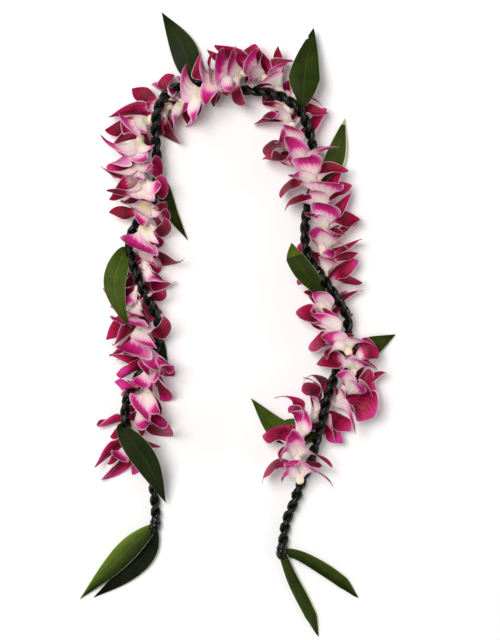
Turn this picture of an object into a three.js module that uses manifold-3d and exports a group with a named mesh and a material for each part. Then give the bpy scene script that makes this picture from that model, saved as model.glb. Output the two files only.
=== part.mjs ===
// Fresh flower lei: orchid blooms on a thread, wound round a twisted two-ply rope of ti leaves.
// It lies open on a flat surface, in the shape of an arch. Millimetres, +Z up, the surface is z = 0.
import * as THREE from "three";
import { mergeVertices } from "three/addons/utils/BufferGeometryUtils.js";
import Module from "manifold-3d";

const wasm = await Module();
wasm.setup();
const { Manifold, Mesh } = wasm;

// Driving dimensions of the rope

// The rope's middle in plan, from its right end over the arch to its left end.
const ROPE_ROUTE = [
  [44, -231], [47, -208], [51, -193], [55, -184], [60, -171], [66, -156], [73, -140], [79, -115],
  [84, -96], [88, -78], [95, -58], [105, -33], [110, -13], [109, 4], [102, 18], [93, 31], [82, 47],
  [73, 60], [68, 74], [67, 92], [69, 110], [73, 126], [77, 140], [78, 154], [76, 168], [73, 182],
  [68, 198], [60, 211], [48, 221], [34, 227], [20, 230], [6, 232], [-8, 234], [-24, 238],
  [-38, 239], [-52, 237], [-65, 231], [-74, 222], [-80, 209], [-82, 195], [-82, 180], [-81, 160],
  [-81, 142], [-84, 128], [-90, 115], [-98, 104], [-105, 93], [-108, 80], [-106, 64], [-101, 48],
  [-94, 31], [-86, 15], [-80, 0], [-80, -15], [-86, -32], [-97, -50], [-108, -70], [-112, -88],
  [-110, -106], [-103, -124], [-94, -140], [-87, -158], [-84, -178], [-83, -198], [-84, -206],
];
// Where the flower strand lies over the rope, then inside it, beneath it, outside it, and so on:
// one plan point for each quarter turn of the strand round the rope.
const QUARTER_TURNS = [
  [62, -165], [77, -121], [86, -88], [99, -48], [108, -23], [109, 4], [89, 37], [67, 92],
  [75, 137], [72, 182], [52, 218], [12, 231], [-28, 238], [-55, 237], [-76, 218], [-82, 172],
  [-91, 114], [-107, 74], [-98, 42], [-80, 2], [-88, -36], [-110, -73], [-109, -108], [-92, -144],
];
const ORIGIN = [-1.6, 0.15]; // moves the plan, so that the whole lei is centred on the origin
const ROUTE_STEPS = 40; // samples between two points of a hand-drawn route
const SAMPLE = 1; // spacing of the samples along a worked-out line
const PLY_ORBIT = 3.1; // from the rope's middle to the middle of a ply
const PLY_RADIUS = 2.85;
const PLY_SIDES = 5; // the section has one corner towards the rope's middle
const TWIST_PITCH = 24; // length of one full turn of a ply
const RINGS_PER_TWIST = 6;
const STRIP_GAP = 0.3; // between two leaf strips of a ply, end to end
const ROPE_MEAN_HEIGHT = 17.2;
const ROPE_RISE = 11.4; // the rope lies this much lower under the flowers, and higher over them
const END_HEIGHT = 5.8; // of the rope's middle, at its two bare ends
const END_REACH = [30, 66]; // between these lengths the rope rises from its bare ends

// Driving dimensions of the flower strand

const BLOOMS = 44;
const STRAND_OFFSET = 19; // sideways from the rope's middle, where the strand lies beside it
const STRAND_HEIGHT = 18;
const STRAND_RISE = 4.5;
const STRAND_START = 72; // along the rope's plan, from its right end
const STRAND_END_MARGIN = 76; // the strand stops this far before the rope's left end
const BLOOM_MARGIN = 9; // bare thread before the first bloom and after the last
const TURN_WINDOW = 41; // lengths over which the winding and the strand are smoothed
const STRAND_WINDOW = 31;
const THREAD_RADIUS = 0.5;
const THREAD_SIDES = 3;
const LOOP_RADIUS = 7.2; // of the thread where it is tied round the rope
const LOOP_PITCH = 2.4;
const LOOP_TURNS = 1.25;
const LOOP_STEPS = 8;
const LOOP_DISTANCE = 12; // from the end of the strand, along the rope
const LOOP_LIFT = [2.6, 13]; // the rope's rise over the loop, and half its length
const SEED = 28;

// Driving dimensions of a bloom

const TEPAL_THICKNESS = 1.3;
const TEPAL_ROOT = 4.6; // distance of a tepal's root from the thread
const ROOT_HALF_ANGLE = 30; // of a tepal's root, seen along the thread, in degrees
const ROOT_SHARE = 0.42; // of the angle to the next tepal, that a root takes at most
const TEPAL_WRAP = 0.64; // the greatest half width of a tepal, as a share of its distance out
const ROPE_ROOM = 42; // degrees between the direction of the rope and the nearest tepal
const TEPAL_ROOM = 44; // degrees to the next tepal; with less, the tepal is that much narrower
// Each kind of tepal: its size, the stations of its blade, its outline, the place of its root along
// the thread, and the angle between its midrib and the thread, in degrees, at the root and tip.
const SEPAL = {
  length: 32, width: 16, stations: [0.36, 0.72, 1], base: 0.14, bulge: 0.9,
  root: -1, opening: [34, 116],
};
const PETAL = {
  length: 33, width: 24, stations: [0.3, 0.6, 0.87, 1], base: 0.12, bulge: 1.4,
  root: 0.8, opening: [26, 98],
};
const LIP = {
  length: 24, width: 16, stations: [0.42, 0.78, 1], base: 0.12, bulge: 0.95,
  root: 2.2, opening: [12, 72],
};
const TEPALS = [
  { form: SEPAL, azimuth: 90 },
  { form: PETAL, azimuth: 150 },
  { form: SEPAL, azimuth: 215 },
  { form: LIP, azimuth: 270 },
  { form: SEPAL, azimuth: 325 },
  { form: PETAL, azimuth: 390 },
];
// Blooms that have settled further round the thread, by so many steps of these degrees.
const SETTLED = { 2: 3, 7: 2, 21: 1, 26: 2, 27: 1, 42: 1, 44: 3 };
const SETTLING = 45;
const SIDE_TILT = 0.7; // how far the tepals at the sides of a bloom turn their faces up
const TOP_LEAN = 0.45; // how far the tepals at its top lean forwards
const NOD = 0.06; // how far a bloom nods to any side, at most, for each step out
const THROAT_BACK = [-9, 3.7]; // distance along the thread, outer radius
const THROAT_FRONT = [6, 3.7];
const BORE_RADIUS = 1.7;
const ROOT_FLARE = 0.25; // how much thicker a tepal is at its root, on each face
const ROPE_CLEARANCE = 7.2; // petals are bent round the rope, no nearer to its middle than this
const ROPE_FALLOFF = 3;
const SURFACE_GAP = 0.95; // from the surface to the middle of the lowest petals
const SURFACE_SOFTNESS = 3;
const LEAF_GAP = 1.9; // from the middle of a leaf blade to the middle of a petal that lies on it
const LEAF_FADE = 7;
const LEAF_BARE = 0.26; // share of a leaf, next to the rope, that petals aren't bent clear of
const SWELL = 0.35; // gap that is cut between two pieces that would otherwise touch

// Driving dimensions of the leaves

const LEAF_THICKNESS = 1.1;
const LEAF_ROOT_WIDTH = 5;
const LEAF_FOLD = 0.1; // depth of a blade's fold, as a share of its width
const LEAF_STATIONS = [0, 0.1, 0.24, 0.42, 0.62, 0.82, 1];
const KNOT_RINGS = [[-8, 3.4], [-6, 5.6], [-2.5, 7.0], [2.5, 7.0], [6.5, 6.0], [8.5, 5.4]];
const KNOT_SIDES = 8;
const KNOT_FLAT = [2, 3]; // the two rings of a knot that rest on the surface

// Each free leaf tip: the ply that it belongs to, the plan point where it leaves the rope, the
// points of its midrib, its greatest width, and whether the petals lie over or under it.
const LEAVES = [
  { name: "inner_right_low", ply: 0, leaves: [80, -114], width: 25, petals: "over",
    rib: [[69, -112, 2.4], [57, -110, 1.4], [40, -108, 1.2], [12, -76, 1.4]] },
  { name: "inner_right_high", ply: 0, leaves: [87, 22], width: 24, petals: "under",
    rib: [[78, 36, 35], [60, 56, 37], [53, 79, 31]] },
  { name: "top_right", ply: 0, leaves: [62, 208], width: 27, petals: "under",
    rib: [[66, 226, 27], [68, 252, 20], [75, 294, 10]] },
  { name: "inner_left", ply: 0, leaves: [-82, 150], width: 14, petals: "over",
    rib: [[-76, 138, 2], [-68, 112, 1.6], [-50, 81, 2.4]] },
  { name: "inner_left_low", ply: 0, leaves: [-80, -8], width: 14, petals: "over",
    rib: [[-82, -18, 2.2], [-77, -32, 1.6], [-70, -46, 2]] },
  { name: "outer_right_low", ply: 1, leaves: [107, -30], width: 22, petals: "over",
    rib: [[118, -32, 2.4], [136, -24, 2.6], [160, -12, 2]] },
  { name: "outer_right_high", ply: 1, leaves: [78, 150], width: 21, petals: "over",
    rib: [[88, 148, 2.6], [97, 164, 3], [108, 200, 2.4]] },
  { name: "top_left", ply: 1, leaves: [-46, 238], width: 27, petals: "over",
    rib: [[-48, 252, 6], [-56, 277, 2.4], [-78, 314, 2]] },
  { name: "outer_left_high", ply: 1, leaves: [-107, 76], width: 22, petals: "under",
    rib: [[-115, 66, 23], [-125, 40, 30], [-109, 1, 33]] },
  { name: "outer_left_low", ply: 1, leaves: [-111, -98], width: 26, petals: "under",
    rib: [[-114, -108, 33], [-101, -138, 32], [-73, -183, 8]] },
];
const KNOT_LEAVES = {
  right: [
    { name: "right_end_side", width: 16, rib: [[67, -238, 4], [92, -255, 2], [119, -276, 1.6]] },
    { name: "right_end_low", width: 17, rib: [[51, -258, 3], [64, -283, 1.8], [82, -314, 1.6]] },
  ],
  left: [
    { name: "left_end_broad", width: 30, rib: [[-103, -224, 8], [-130, -253, 5], [-157, -278, 1.8]] },
    { name: "left_end_dark", width: 26, rib: [[-88, -230, 2], [-108, -256, 1.6], [-140, -277, 1.4]] },
  ],
};

// Colours and finishes

const FINISHES = {
  rope: { color: 0x10210f, roughness: 0.4 },
  leaf: { color: 0x26411a, roughness: 0.38 },
  knot: { color: 0x1b3014, roughness: 0.4 },
  thread: { color: 0x2b3a24, roughness: 0.85 },
  bloom: { color: 0xb0246a, roughness: 0.55 },
};

const UP = new THREE.Vector3(0, 0, 1);
const vector = (x, y, z) => new THREE.Vector3(x, y, z);
const turns = (count) => 2 * Math.PI * count;
const sum = (...terms) => terms.reduce((all, term) => all.add(term), vector(0, 0, 0));
const scaled = (direction, length) => direction.clone().multiplyScalar(length);
const mix = (a, b, share) => a + (b - a) * share;

// A number from 0 to 1, always the same for the same bloom and the same item: the far decimals
// of a sine.
function draw(bloom, item) {
  const far = Math.sin(bloom * 12.9898 + item * 78.233 + SEED) * 43758.5453;
  return far - Math.floor(far);
}
const between = (low, high, bloom, item) => mix(low, high, draw(bloom, item));

// Lines: points at equal steps along a path

function routePoints(points) {
  const corners = points.map(([x, y, z = 0]) => vector(x, y, z));
  const curve = new THREE.CatmullRomCurve3(corners, false, "catmullrom", 0.5);
  const count = (points.length - 1) * ROUTE_STEPS;
  return Array.from({ length: count + 1 }, (_, k) => curve.getPoint(k / count));
}

// The same path again with points SAMPLE apart, and for each the place in the list it came from.
function resampled(points) {
  const reach = [0];
  for (let k = 1; k < points.length; k += 1) {
    reach.push(reach[k - 1] + points[k].distanceTo(points[k - 1]));
  }
  const total = reach[reach.length - 1];
  const places = [];
  let k = 0;
  for (let n = 0; n * SAMPLE <= total; n += 1) {
    while (k < points.length - 2 && reach[k + 1] < n * SAMPLE) {
      k += 1;
    }
    places.push(k + (n * SAMPLE - reach[k]) / (reach[k + 1] - reach[k]));
  }
  return { points: places.map((place) => pick(points, place)), places, total };
}

// The value at a fractional place in a list of numbers or points, in a straight line between two.
function pick(list, place) {
  const k = Math.min(Math.max(Math.floor(place), 0), list.length - 2);
  const share = place - k;
  if (typeof list[0] === "number") {
    return mix(list[k], list[k + 1], share);
  }
  return list[k].clone().lerp(list[k + 1], share);
}

// A moving average over a window of samples, done twice. Past the ends the list goes straight on.
function smoothed(list, window, past) {
  const half = (window - 1) / 2;
  let now = list;
  for (let pass = 0; pass < 2; pass += 1) {
    const last = now.length - 1;
    const value = (k) => {
      if (k < 0) return past(now[0], now[Math.min(-k, last)]);
      if (k > last) return past(now[last], now[Math.max(2 * last - k, 0)]);
      return now[k];
    };
    now = now.map((_, k) => {
      const near = Array.from({ length: window }, (__, n) => value(k - half + n));
      if (typeof list[0] === "number") {
        return near.reduce((a, b) => a + b, 0) / window;
      }
      return sum(...near).divideScalar(window);
    });
  }
  return now;
}
const mirrorNumber = (end, inside) => 2 * end - inside;
const mirrorPoint = (end, inside) => scaled(end, 2).sub(inside);

function directions(points) {
  const last = points.length - 1;
  return points.map((_, k) => {
    const before = points[Math.max(k - 1, 0)];
    const after = points[Math.min(k + 1, last)];
    return after.clone().sub(before).normalize();
  });
}

// The place on a line, with the direction of travel, the level direction to its left, and up.
function frameAt(line, place) {
  const origin = pick(line.points, place);
  const along = pick(line.along, place).normalize();
  const side = UP.clone().cross(along).normalize();
  const up = along.clone().cross(side);
  return { origin, along, side, up };
}

// The rope

const plan = resampled(routePoints(ROPE_ROUTE.map(([x, y]) => [x + ORIGIN[0], y + ORIGIN[1]])));
const ropeEnd = plan.points.length - 1;

function nearestMark([x, y]) {
  const target = vector(x + ORIGIN[0], y + ORIGIN[1], 0);
  let best = 0;
  plan.points.forEach((point, k) => {
    if (point.distanceTo(target) < plan.points[best].distanceTo(target)) best = k;
  });
  return best;
}

// How far the strand has gone round the rope at each sample, as an angle: a quarter turn is over.
function windingAngles() {
  const marks = QUARTER_TURNS.map(nearestMark);
  const raw = plan.points.map((_, k) => {
    let n = 0;
    while (n < marks.length - 2 && marks[n + 1] < k) {
      n += 1;
    }
    return turns((1 - n - (k - marks[n]) / (marks[n + 1] - marks[n])) / 4);
  });
  return smoothed(raw, TURN_WINDOW, mirrorNumber);
}
const winding = windingAngles();

const loopMarks = [
  STRAND_START - LOOP_DISTANCE,
  ropeEnd - STRAND_END_MARGIN + LOOP_DISTANCE,
];

function ropeHeight(k) {
  const share = THREE.MathUtils.smoothstep(Math.min(k, ropeEnd - k), ...END_REACH);
  const wound = ROPE_MEAN_HEIGHT - ROPE_RISE * Math.sin(winding[k]);
  const lifts = loopMarks.map((mark) => Math.exp(-(((k - mark) / LOOP_LIFT[1]) ** 2)));
  return mix(END_HEIGHT, wound, share) + LOOP_LIFT[0] * Math.max(...lifts);
}
const ropePoints = plan.points.map((point, k) => vector(point.x, point.y, ropeHeight(k)));
const rope = { points: ropePoints, along: directions(ropePoints) };

// The flower strand

function strandLine() {
  const level = directions(plan.points);
  const raw = plan.points.map((point, k) => {
    const side = UP.clone().cross(level[k]);
    const place = point.clone().addScaledVector(side, STRAND_OFFSET * Math.cos(winding[k]));
    return place.setZ(STRAND_HEIGHT + STRAND_RISE * Math.sin(winding[k]));
  });
  const smooth = smoothed(raw, STRAND_WINDOW, mirrorPoint);
  const cut = smooth.slice(STRAND_START, ropeEnd - STRAND_END_MARGIN + 1);
  const line = resampled(cut);
  return {
    points: line.points,
    along: directions(line.points),
    marks: line.places.map((place) => place + STRAND_START),
  };
}
const strand = strandLine();
const strandEnd = strand.points.length - 1;

// Solids from rows of points

// A closed surface from points and faces with three or more corners, all faces the same way round.
function solidFrom(points, faces) {
  const triangles = [];
  faces.forEach((face) => {
    for (let k = 1; k < face.length - 1; k += 1) {
      triangles.push(face[0], face[k], face[k + 1]);
    }
  });
  const geometry = new THREE.BufferGeometry().setFromPoints(points);
  geometry.setIndex(triangles);
  const merged = mergeVertices(geometry, 1e-4);
  const make = (order) => new Manifold(new Mesh({
    numProp: 3,
    vertProperties: merged.attributes.position.array,
    triVerts: new Uint32Array(order),
  }));
  const made = make(merged.index.array);
  if (made.volume() > 0) return made;
  const order = Array.from(merged.index.array);
  for (let k = 0; k < order.length; k += 3) {
    [order[k + 1], order[k + 2]] = [order[k + 2], order[k + 1]];
  }
  return make(order);
}

// A tube through rings of equal count, closed by a flat cap at each end.
function loft(rings) {
  const sides = rings[0].length;
  const faces = [];
  for (let row = 0; row < rings.length - 1; row += 1) {
    for (let k = 0; k < sides; k += 1) {
      const next = (k + 1) % sides;
      const a = row * sides + k;
      const b = row * sides + next;
      faces.push([a, b, b + sides], [a, b + sides, a + sides]);
    }
  }
  const first = Array.from({ length: sides }, (_, k) => sides - 1 - k);
  const last = Array.from({ length: sides }, (_, k) => (rings.length - 1) * sides + k);
  return solidFrom(rings.flat(), [first, last, ...faces]);
}

// A thin blade with a lens section. Each row holds its left edge, middle and right edge; the last
// row is the tip. The halves of both faces are split alike, so that they never cross.
function blade(rows, tip, thickness) {
  const points = [];
  rows.forEach((row, k) => {
    const after = k < rows.length - 1 ? rows[k + 1].middle : tip;
    const before = k > 0 ? rows[k - 1].middle : row.middle;
    const along = after.clone().sub(before);
    const across = row.right.clone().sub(row.left);
    const normal = along.cross(across).normalize();
    const top = row.middle.clone().addScaledVector(normal, thickness / 2);
    const bottom = row.middle.clone().addScaledVector(normal, -thickness / 2);
    points.push(row.left, top, row.right, bottom);
  });
  points.push(tip);
  const faces = [[3, 2, 1, 0]];
  const end = points.length - 1;
  rows.forEach((_, k) => {
    const [left, top, right, bottom] = [4 * k, 4 * k + 1, 4 * k + 2, 4 * k + 3];
    if (k === rows.length - 1) {
      faces.push([left, top, end], [top, right, end], [right, bottom, end], [bottom, left, end]);
      return;
    }
    faces.push([left, top, top + 4], [left, top + 4, left + 4]);
    faces.push([top, right, top + 4], [right, right + 4, top + 4]);
    faces.push([right, bottom, bottom + 4], [right, bottom + 4, right + 4]);
    faces.push([bottom, left, bottom + 4], [left, left + 4, bottom + 4]);
  });
  return solidFrom(points, faces);
}

const joined = (solids) => solids.reduce((all, next) => all.add(next));
const largest = (solid) => solid.decompose().sort((a, b) => b.volume() - a.volume())[0];

// Leaves

// A leaf blade's midrib from its root, its width at each share of its length, and its rows.
function leafRows(root, leaf, shares, extraWidth) {
  const rib = leaf.rib.map(([x, y, z]) => [x + ORIGIN[0], y + ORIGIN[1], z]);
  const line = resampled(routePoints([root.toArray(), ...rib]));
  const along = directions(line.points);
  const last = line.points.length - 1;
  return shares.map((share) => {
    const middle = pick(line.points, share * last);
    const forward = pick(along, share * last);
    const side = UP.clone().cross(forward).normalize();
    const half = leafWidth(leaf, share) / 2 + extraWidth;
    const edge = scaled(UP, LEAF_FOLD * leafWidth(leaf, share));
    return {
      middle,
      half,
      left: sum(middle, scaled(side, half), edge),
      right: sum(middle, scaled(side, -half), edge),
    };
  });
}

// The width grows quickly from the root, is greatest before the middle, and runs out to the tip.
function leafWidth(leaf, share) {
  const outline = Math.max(Math.sin(Math.PI * share ** 0.74), 0) ** 1.1;
  return LEAF_ROOT_WIDTH * (1 - share) + (leaf.width - LEAF_ROOT_WIDTH / 2) * outline;
}

function leafBlade(root, leaf, swell) {
  const rows = leafRows(root, leaf, LEAF_STATIONS, swell);
  const tip = rows.pop().middle;
  return blade(rows, tip, LEAF_THICKNESS + 2 * swell);
}

// Rope plies, each cut into strips

function plyCentre(ply, mark) {
  const { origin, side, up } = frameAt(rope, mark);
  const angle = turns(mark / TWIST_PITCH + ply / 2);
  const out = sum(scaled(side, Math.cos(angle)), scaled(up, Math.sin(angle)));
  return { centre: origin.clone().addScaledVector(out, PLY_ORBIT), out, side, up };
}

function plyRing(ply, mark, radius) {
  const { centre, out, side, up } = plyCentre(ply, mark);
  const around = side.clone().cross(up).cross(out);
  return Array.from({ length: PLY_SIDES }, (_, k) => {
    const angle = turns(k / PLY_SIDES);
    const outwards = scaled(out, -radius * Math.cos(angle));
    return sum(centre, outwards, scaled(around, radius * Math.sin(angle)));
  });
}

function plyLength(ply, from, to, swell) {
  const step = TWIST_PITCH / RINGS_PER_TWIST;
  const rings = [plyRing(ply, from, PLY_RADIUS + swell)];
  for (let mark = Math.floor(from / step + 1.2) * step; mark < to - 0.2 * step; mark += step) {
    rings.push(plyRing(ply, mark, PLY_RADIUS + swell));
  }
  rings.push(plyRing(ply, to, PLY_RADIUS + swell));
  return loft(rings);
}

// The mark near the wanted one where the ply is on the side that the leaf goes off to.
function leafMark(leaf) {
  const wanted = nearestMark(leaf.leaves);
  const goal = vector(...leaf.rib[0]).add(vector(ORIGIN[0], ORIGIN[1], 0));
  let best = wanted;
  let bestReach = Infinity;
  for (let mark = wanted - TWIST_PITCH / 2; mark <= wanted + TWIST_PITCH / 2; mark += 1) {
    const reach = plyCentre(leaf.ply, mark).centre.distanceTo(goal) + 0.3 * Math.abs(mark - wanted);
    if (reach < bestReach) [best, bestReach] = [mark, reach];
  }
  return best;
}

const KNOT_INSIDE = KNOT_RINGS[KNOT_RINGS.length - 1][0] + STRIP_GAP; // where the plies start

// Each ply is shared out into one strip for each of its leaves.
function ropeStrips() {
  const step = TWIST_PITCH / RINGS_PER_TWIST;
  const strips = [];
  [0, 1].forEach((ply) => {
    const mine = LEAVES.filter((leaf) => leaf.ply === ply)
      .map((leaf) => ({ leaf, mark: leafMark(leaf) }))
      .sort((a, b) => a.mark - b.mark);
    mine.forEach(({ leaf, mark }, k) => {
      const middle = (a, b) => Math.round((a + b) / 2 / step) * step;
      const from = k > 0 ? middle(mine[k - 1].mark, mark) + STRIP_GAP / 2 : KNOT_INSIDE;
      const isLast = k === mine.length - 1;
      const to = isLast ? ropeEnd - KNOT_INSIDE : middle(mark, mine[k + 1].mark) - STRIP_GAP / 2;
      const root = plyCentre(ply, mark).centre;
      const build = (swell) => joined([
        plyLength(ply, from, to, swell),
        leafBlade(root, leaf, swell),
      ]);
      strips.push({ name: `ti_leaf_strip_${leaf.name}`, leaf, root, build, finish: FINISHES.rope });
    });
  });
  return strips;
}

// The two knots, with the leaf ends that come out of them

function knotBody(atStart, swell) {
  const rings = KNOT_RINGS.map(([distance, radius], row) => {
    const mark = atStart ? distance : ropeEnd - distance;
    const { origin, side } = frameAt(rope, mark);
    const centre = origin.clone().setZ(Math.max(origin.z, radius + 0.4));
    return Array.from({ length: KNOT_SIDES }, (_, k) => {
      const angle = turns((k + 0.5) / KNOT_SIDES);
      const out = (radius + swell) / Math.cos(Math.PI / KNOT_SIDES);
      const point = sum(centre, scaled(side, out * Math.cos(angle)), scaled(UP, out * Math.sin(angle)));
      const resting = KNOT_FLAT.includes(row) && point.z < 1;
      return resting ? point.setZ(0) : point;
    });
  });
  return loft(rings);
}

function knots() {
  return ["right", "left"].map((name) => {
    const atStart = name === "right";
    const root = frameAt(rope, atStart ? 0 : ropeEnd).origin;
    const blades = (swell) => KNOT_LEAVES[name].map((leaf) => leafBlade(root, leaf, swell));
    const build = (swell) => joined([knotBody(atStart, swell), ...blades(swell)]);
    return { name: `end_knot_${name}`, root, build, finish: FINISHES.knot };
  });
}

// The thread: along the strand, and at both ends a loop tied round the rope

function loopPoints(atStart) {
  const end = atStart ? 0 : strandEnd;
  const from = strand.marks[end];
  const away = atStart ? -1 : 1;
  const { origin, side, up } = frameAt(rope, from);
  const out = strand.points[end].clone().sub(origin);
  const first = Math.atan2(out.dot(up), out.dot(side));
  const points = [];
  for (let k = 1; k <= LOOP_TURNS * LOOP_STEPS; k += 1) {
    const mark = from + away * (LOOP_DISTANCE + LOOP_PITCH * (k / LOOP_STEPS - LOOP_TURNS / 2));
    const frame = frameAt(rope, mark);
    const angle = first + turns(k / LOOP_STEPS);
    const across = sum(scaled(frame.side, Math.cos(angle)), scaled(frame.up, Math.sin(angle)));
    points.push(frame.origin.clone().addScaledVector(across, LOOP_RADIUS));
  }
  return points;
}

function threadPath() {
  const middle = [];
  const steps = 2 * (BLOOMS + 1);
  for (let k = 0; k <= steps; k += 1) {
    middle.push(pick(strand.points, (k / steps) * strandEnd));
  }
  return [...loopPoints(true).reverse(), ...middle, ...loopPoints(false)];
}

function thread() {
  const path = threadPath();
  const along = directions(path);
  const sides = [UP.clone().cross(along[0]).normalize()];
  along.slice(1).forEach((direction, k) => {
    const side = sides[k].clone().addScaledVector(direction, -sides[k].dot(direction));
    sides.push(side.normalize());
  });
  const build = (swell) => loft(path.map((point, k) => {
    const side = sides[k];
    const up = along[k].clone().cross(side);
    return Array.from({ length: THREAD_SIDES }, (_, n) => {
      const angle = turns(n / THREAD_SIDES);
      const out = THREAD_RADIUS + swell;
      return sum(point, scaled(side, out * Math.cos(angle)), scaled(up, out * Math.sin(angle)));
    });
  }));
  return { name: "lei_thread", build, finish: FINISHES.thread };
}

const strips = ropeStrips();
const ends = knots();

// Where a petal would go through the rope, a leaf or the surface, it is bent clear

// The leaves' midribs as samples with height and half width, for the petals that touch them.
const leafBeds = strips.map(({ leaf, root }) => {
  const count = 60;
  const shares = Array.from({ length: count + 1 }, (_, k) => mix(LEAF_BARE, 1, k / count));
  return { petals: leaf.petals, rows: leafRows(root, leaf, shares, 0) };
});

const softFloor = (z, floor) => {
  const rise = (z - floor) / SURFACE_SOFTNESS;
  return floor + SURFACE_SOFTNESS * (rise > 30 ? rise : Math.log1p(Math.exp(rise)));
};

function clearOfRope(point, mark) {
  let nearest = null;
  let least = Infinity;
  const first = Math.max(Math.round(mark) - 45, 0);
  const last = Math.min(Math.round(mark) + 45, ropeEnd);
  for (let k = first; k <= last; k += 1) {
    const distance = rope.points[k].distanceToSquared(point);
    if (distance < least) [nearest, least] = [rope.points[k], distance];
  }
  const distance = Math.max(Math.sqrt(least), 1e-3);
  const power = ROPE_FALLOFF;
  const pushed = (distance ** power + ROPE_CLEARANCE ** power) ** (1 / power);
  return nearest.clone().add(point.clone().sub(nearest).multiplyScalar(pushed / distance));
}

function clearOfLeaves(point) {
  let floor = SURFACE_GAP;
  let ceiling = Infinity;
  leafBeds.forEach(({ petals, rows }) => {
    let nearest = null;
    let least = Infinity;
    rows.forEach((row) => {
      const distance = Math.hypot(row.middle.x - point.x, row.middle.y - point.y);
      if (distance < least) [nearest, least] = [row, distance];
    });
    const share = 1 - THREE.MathUtils.smoothstep(least, nearest.half, nearest.half + LEAF_FADE);
    if (share <= 0) return;
    const height = nearest.middle.z + 2 * nearest.half * LEAF_FOLD;
    if (petals === "over") {
      floor = Math.max(floor, mix(SURFACE_GAP, height + LEAF_GAP, share));
    } else {
      const bed = height - LEAF_GAP - 2 * nearest.half * LEAF_FOLD;
      ceiling = Math.min(ceiling, mix(2 * bed, bed, share));
    }
  });
  if (ceiling < Infinity) {
    point.z = 2 * ceiling - softFloor(2 * ceiling - point.z, ceiling);
  }
  point.z = softFloor(point.z, floor);
  return point;
}

// Blooms

const wrapped = (angle) => Math.atan2(Math.sin(angle), Math.cos(angle));

// The direction from the thread to the rope, seen along the thread, at each sample of the strand.
// Tepals turn with it, so that they stay at the same side of the rope along their whole length.
function ropeDirections() {
  const angles = strand.points.map((_, place) => {
    const { origin, side, up } = frameAt(strand, place);
    const toRope = pick(rope.points, strand.marks[place]).sub(origin);
    return Math.atan2(toRope.dot(up), toRope.dot(side));
  });
  for (let k = 1; k < angles.length; k += 1) {
    angles[k] = angles[k - 1] + wrapped(angles[k] - angles[k - 1]);
  }
  return angles;
}
const ropeAngle = ropeDirections();

// A point at a distance from the thread, in a direction that is counted from the rope's.
function besideThread(place, radius, away) {
  const { origin, side, up } = frameAt(strand, place);
  const azimuth = pick(ropeAngle, place) + away;
  const across = scaled(side, radius * Math.cos(azimuth));
  return sum(origin, across, scaled(up, radius * Math.sin(azimuth)));
}

// The direction that a tepal takes, so that it grows past the rope and not into it.
function besideRope(away, gap) {
  return Math.sign(away) * (gap + (Math.PI - gap) * (Math.abs(away) / Math.PI));
}

function tepals(bloom) {
  const degrees = THREE.MathUtils.degToRad;
  const roll = turns(draw(bloom, 1)) + degrees((SETTLED[bloom + 1] ?? 0) * SETTLING);
  const nod = [between(-NOD, NOD, bloom, 3), between(-NOD, NOD, bloom, 4)];
  const open = between(-12, 16, bloom, 5);
  const made = TEPALS.map(({ form, azimuth }, k) => {
    const item = 10 * (k + 1);
    const nominal = wrapped(roll + degrees(azimuth + between(-5, 5, bloom, item)));
    return {
      form,
      nod,
      away: besideRope(nominal, degrees(ROPE_ROOM)),
      start: degrees(form.opening[0] + between(-2, 2, bloom, item + 1)),
      end: degrees(form.opening[1] + open + between(-6, 6, bloom, item + 2)),
      length: form.length * between(0.9, 1.06, bloom, item + 3),
      width: form.width * between(0.88, 1.06, bloom, item + 4),
      cup: between(-0.05, 0.16, bloom, item + 5),
      twist: degrees(between(-18, 18, bloom, item + 6)),
      bow: degrees(between(-7, 7, bloom, item + 9)),
    };
  });
  made.sort((a, b) => a.away - b.away);
  const turned = (angle) => (angle + turns(1)) % turns(1);
  const root = (angle) => Math.min(degrees(ROOT_HALF_ANGLE), ROOT_SHARE * angle);
  return made.map((tepal, k) => {
    const next = turned(made[(k + 1) % made.length].away - tepal.away);
    const last = turned(tepal.away - made[(k + made.length - 1) % made.length].away);
    const room = Math.min(1, Math.min(next, last) / degrees(TEPAL_ROOM));
    return { ...tepal, width: tepal.width * room, toNext: root(next), toLast: root(last) };
  });
}

// How far a bloom leans forwards in a direction across the thread, for each step out.
function leaning(azimuth) {
  const [rise, aside] = [Math.sin(azimuth), Math.cos(azimuth)];
  return TOP_LEAN * Math.max(rise, 0) ** 2 - SIDE_TILT * rise * aside ** 2;
}

// A tepal's outline: narrow at the root, widest near the middle, then rounded or drawn to a tip.
function tepalWidth(tepal, share) {
  const { base, bulge } = tepal.form;
  return tepal.width * Math.max(Math.sin(Math.PI * (base + (1 - base) * share) ** bulge), 0) ** 0.9;
}

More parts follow.
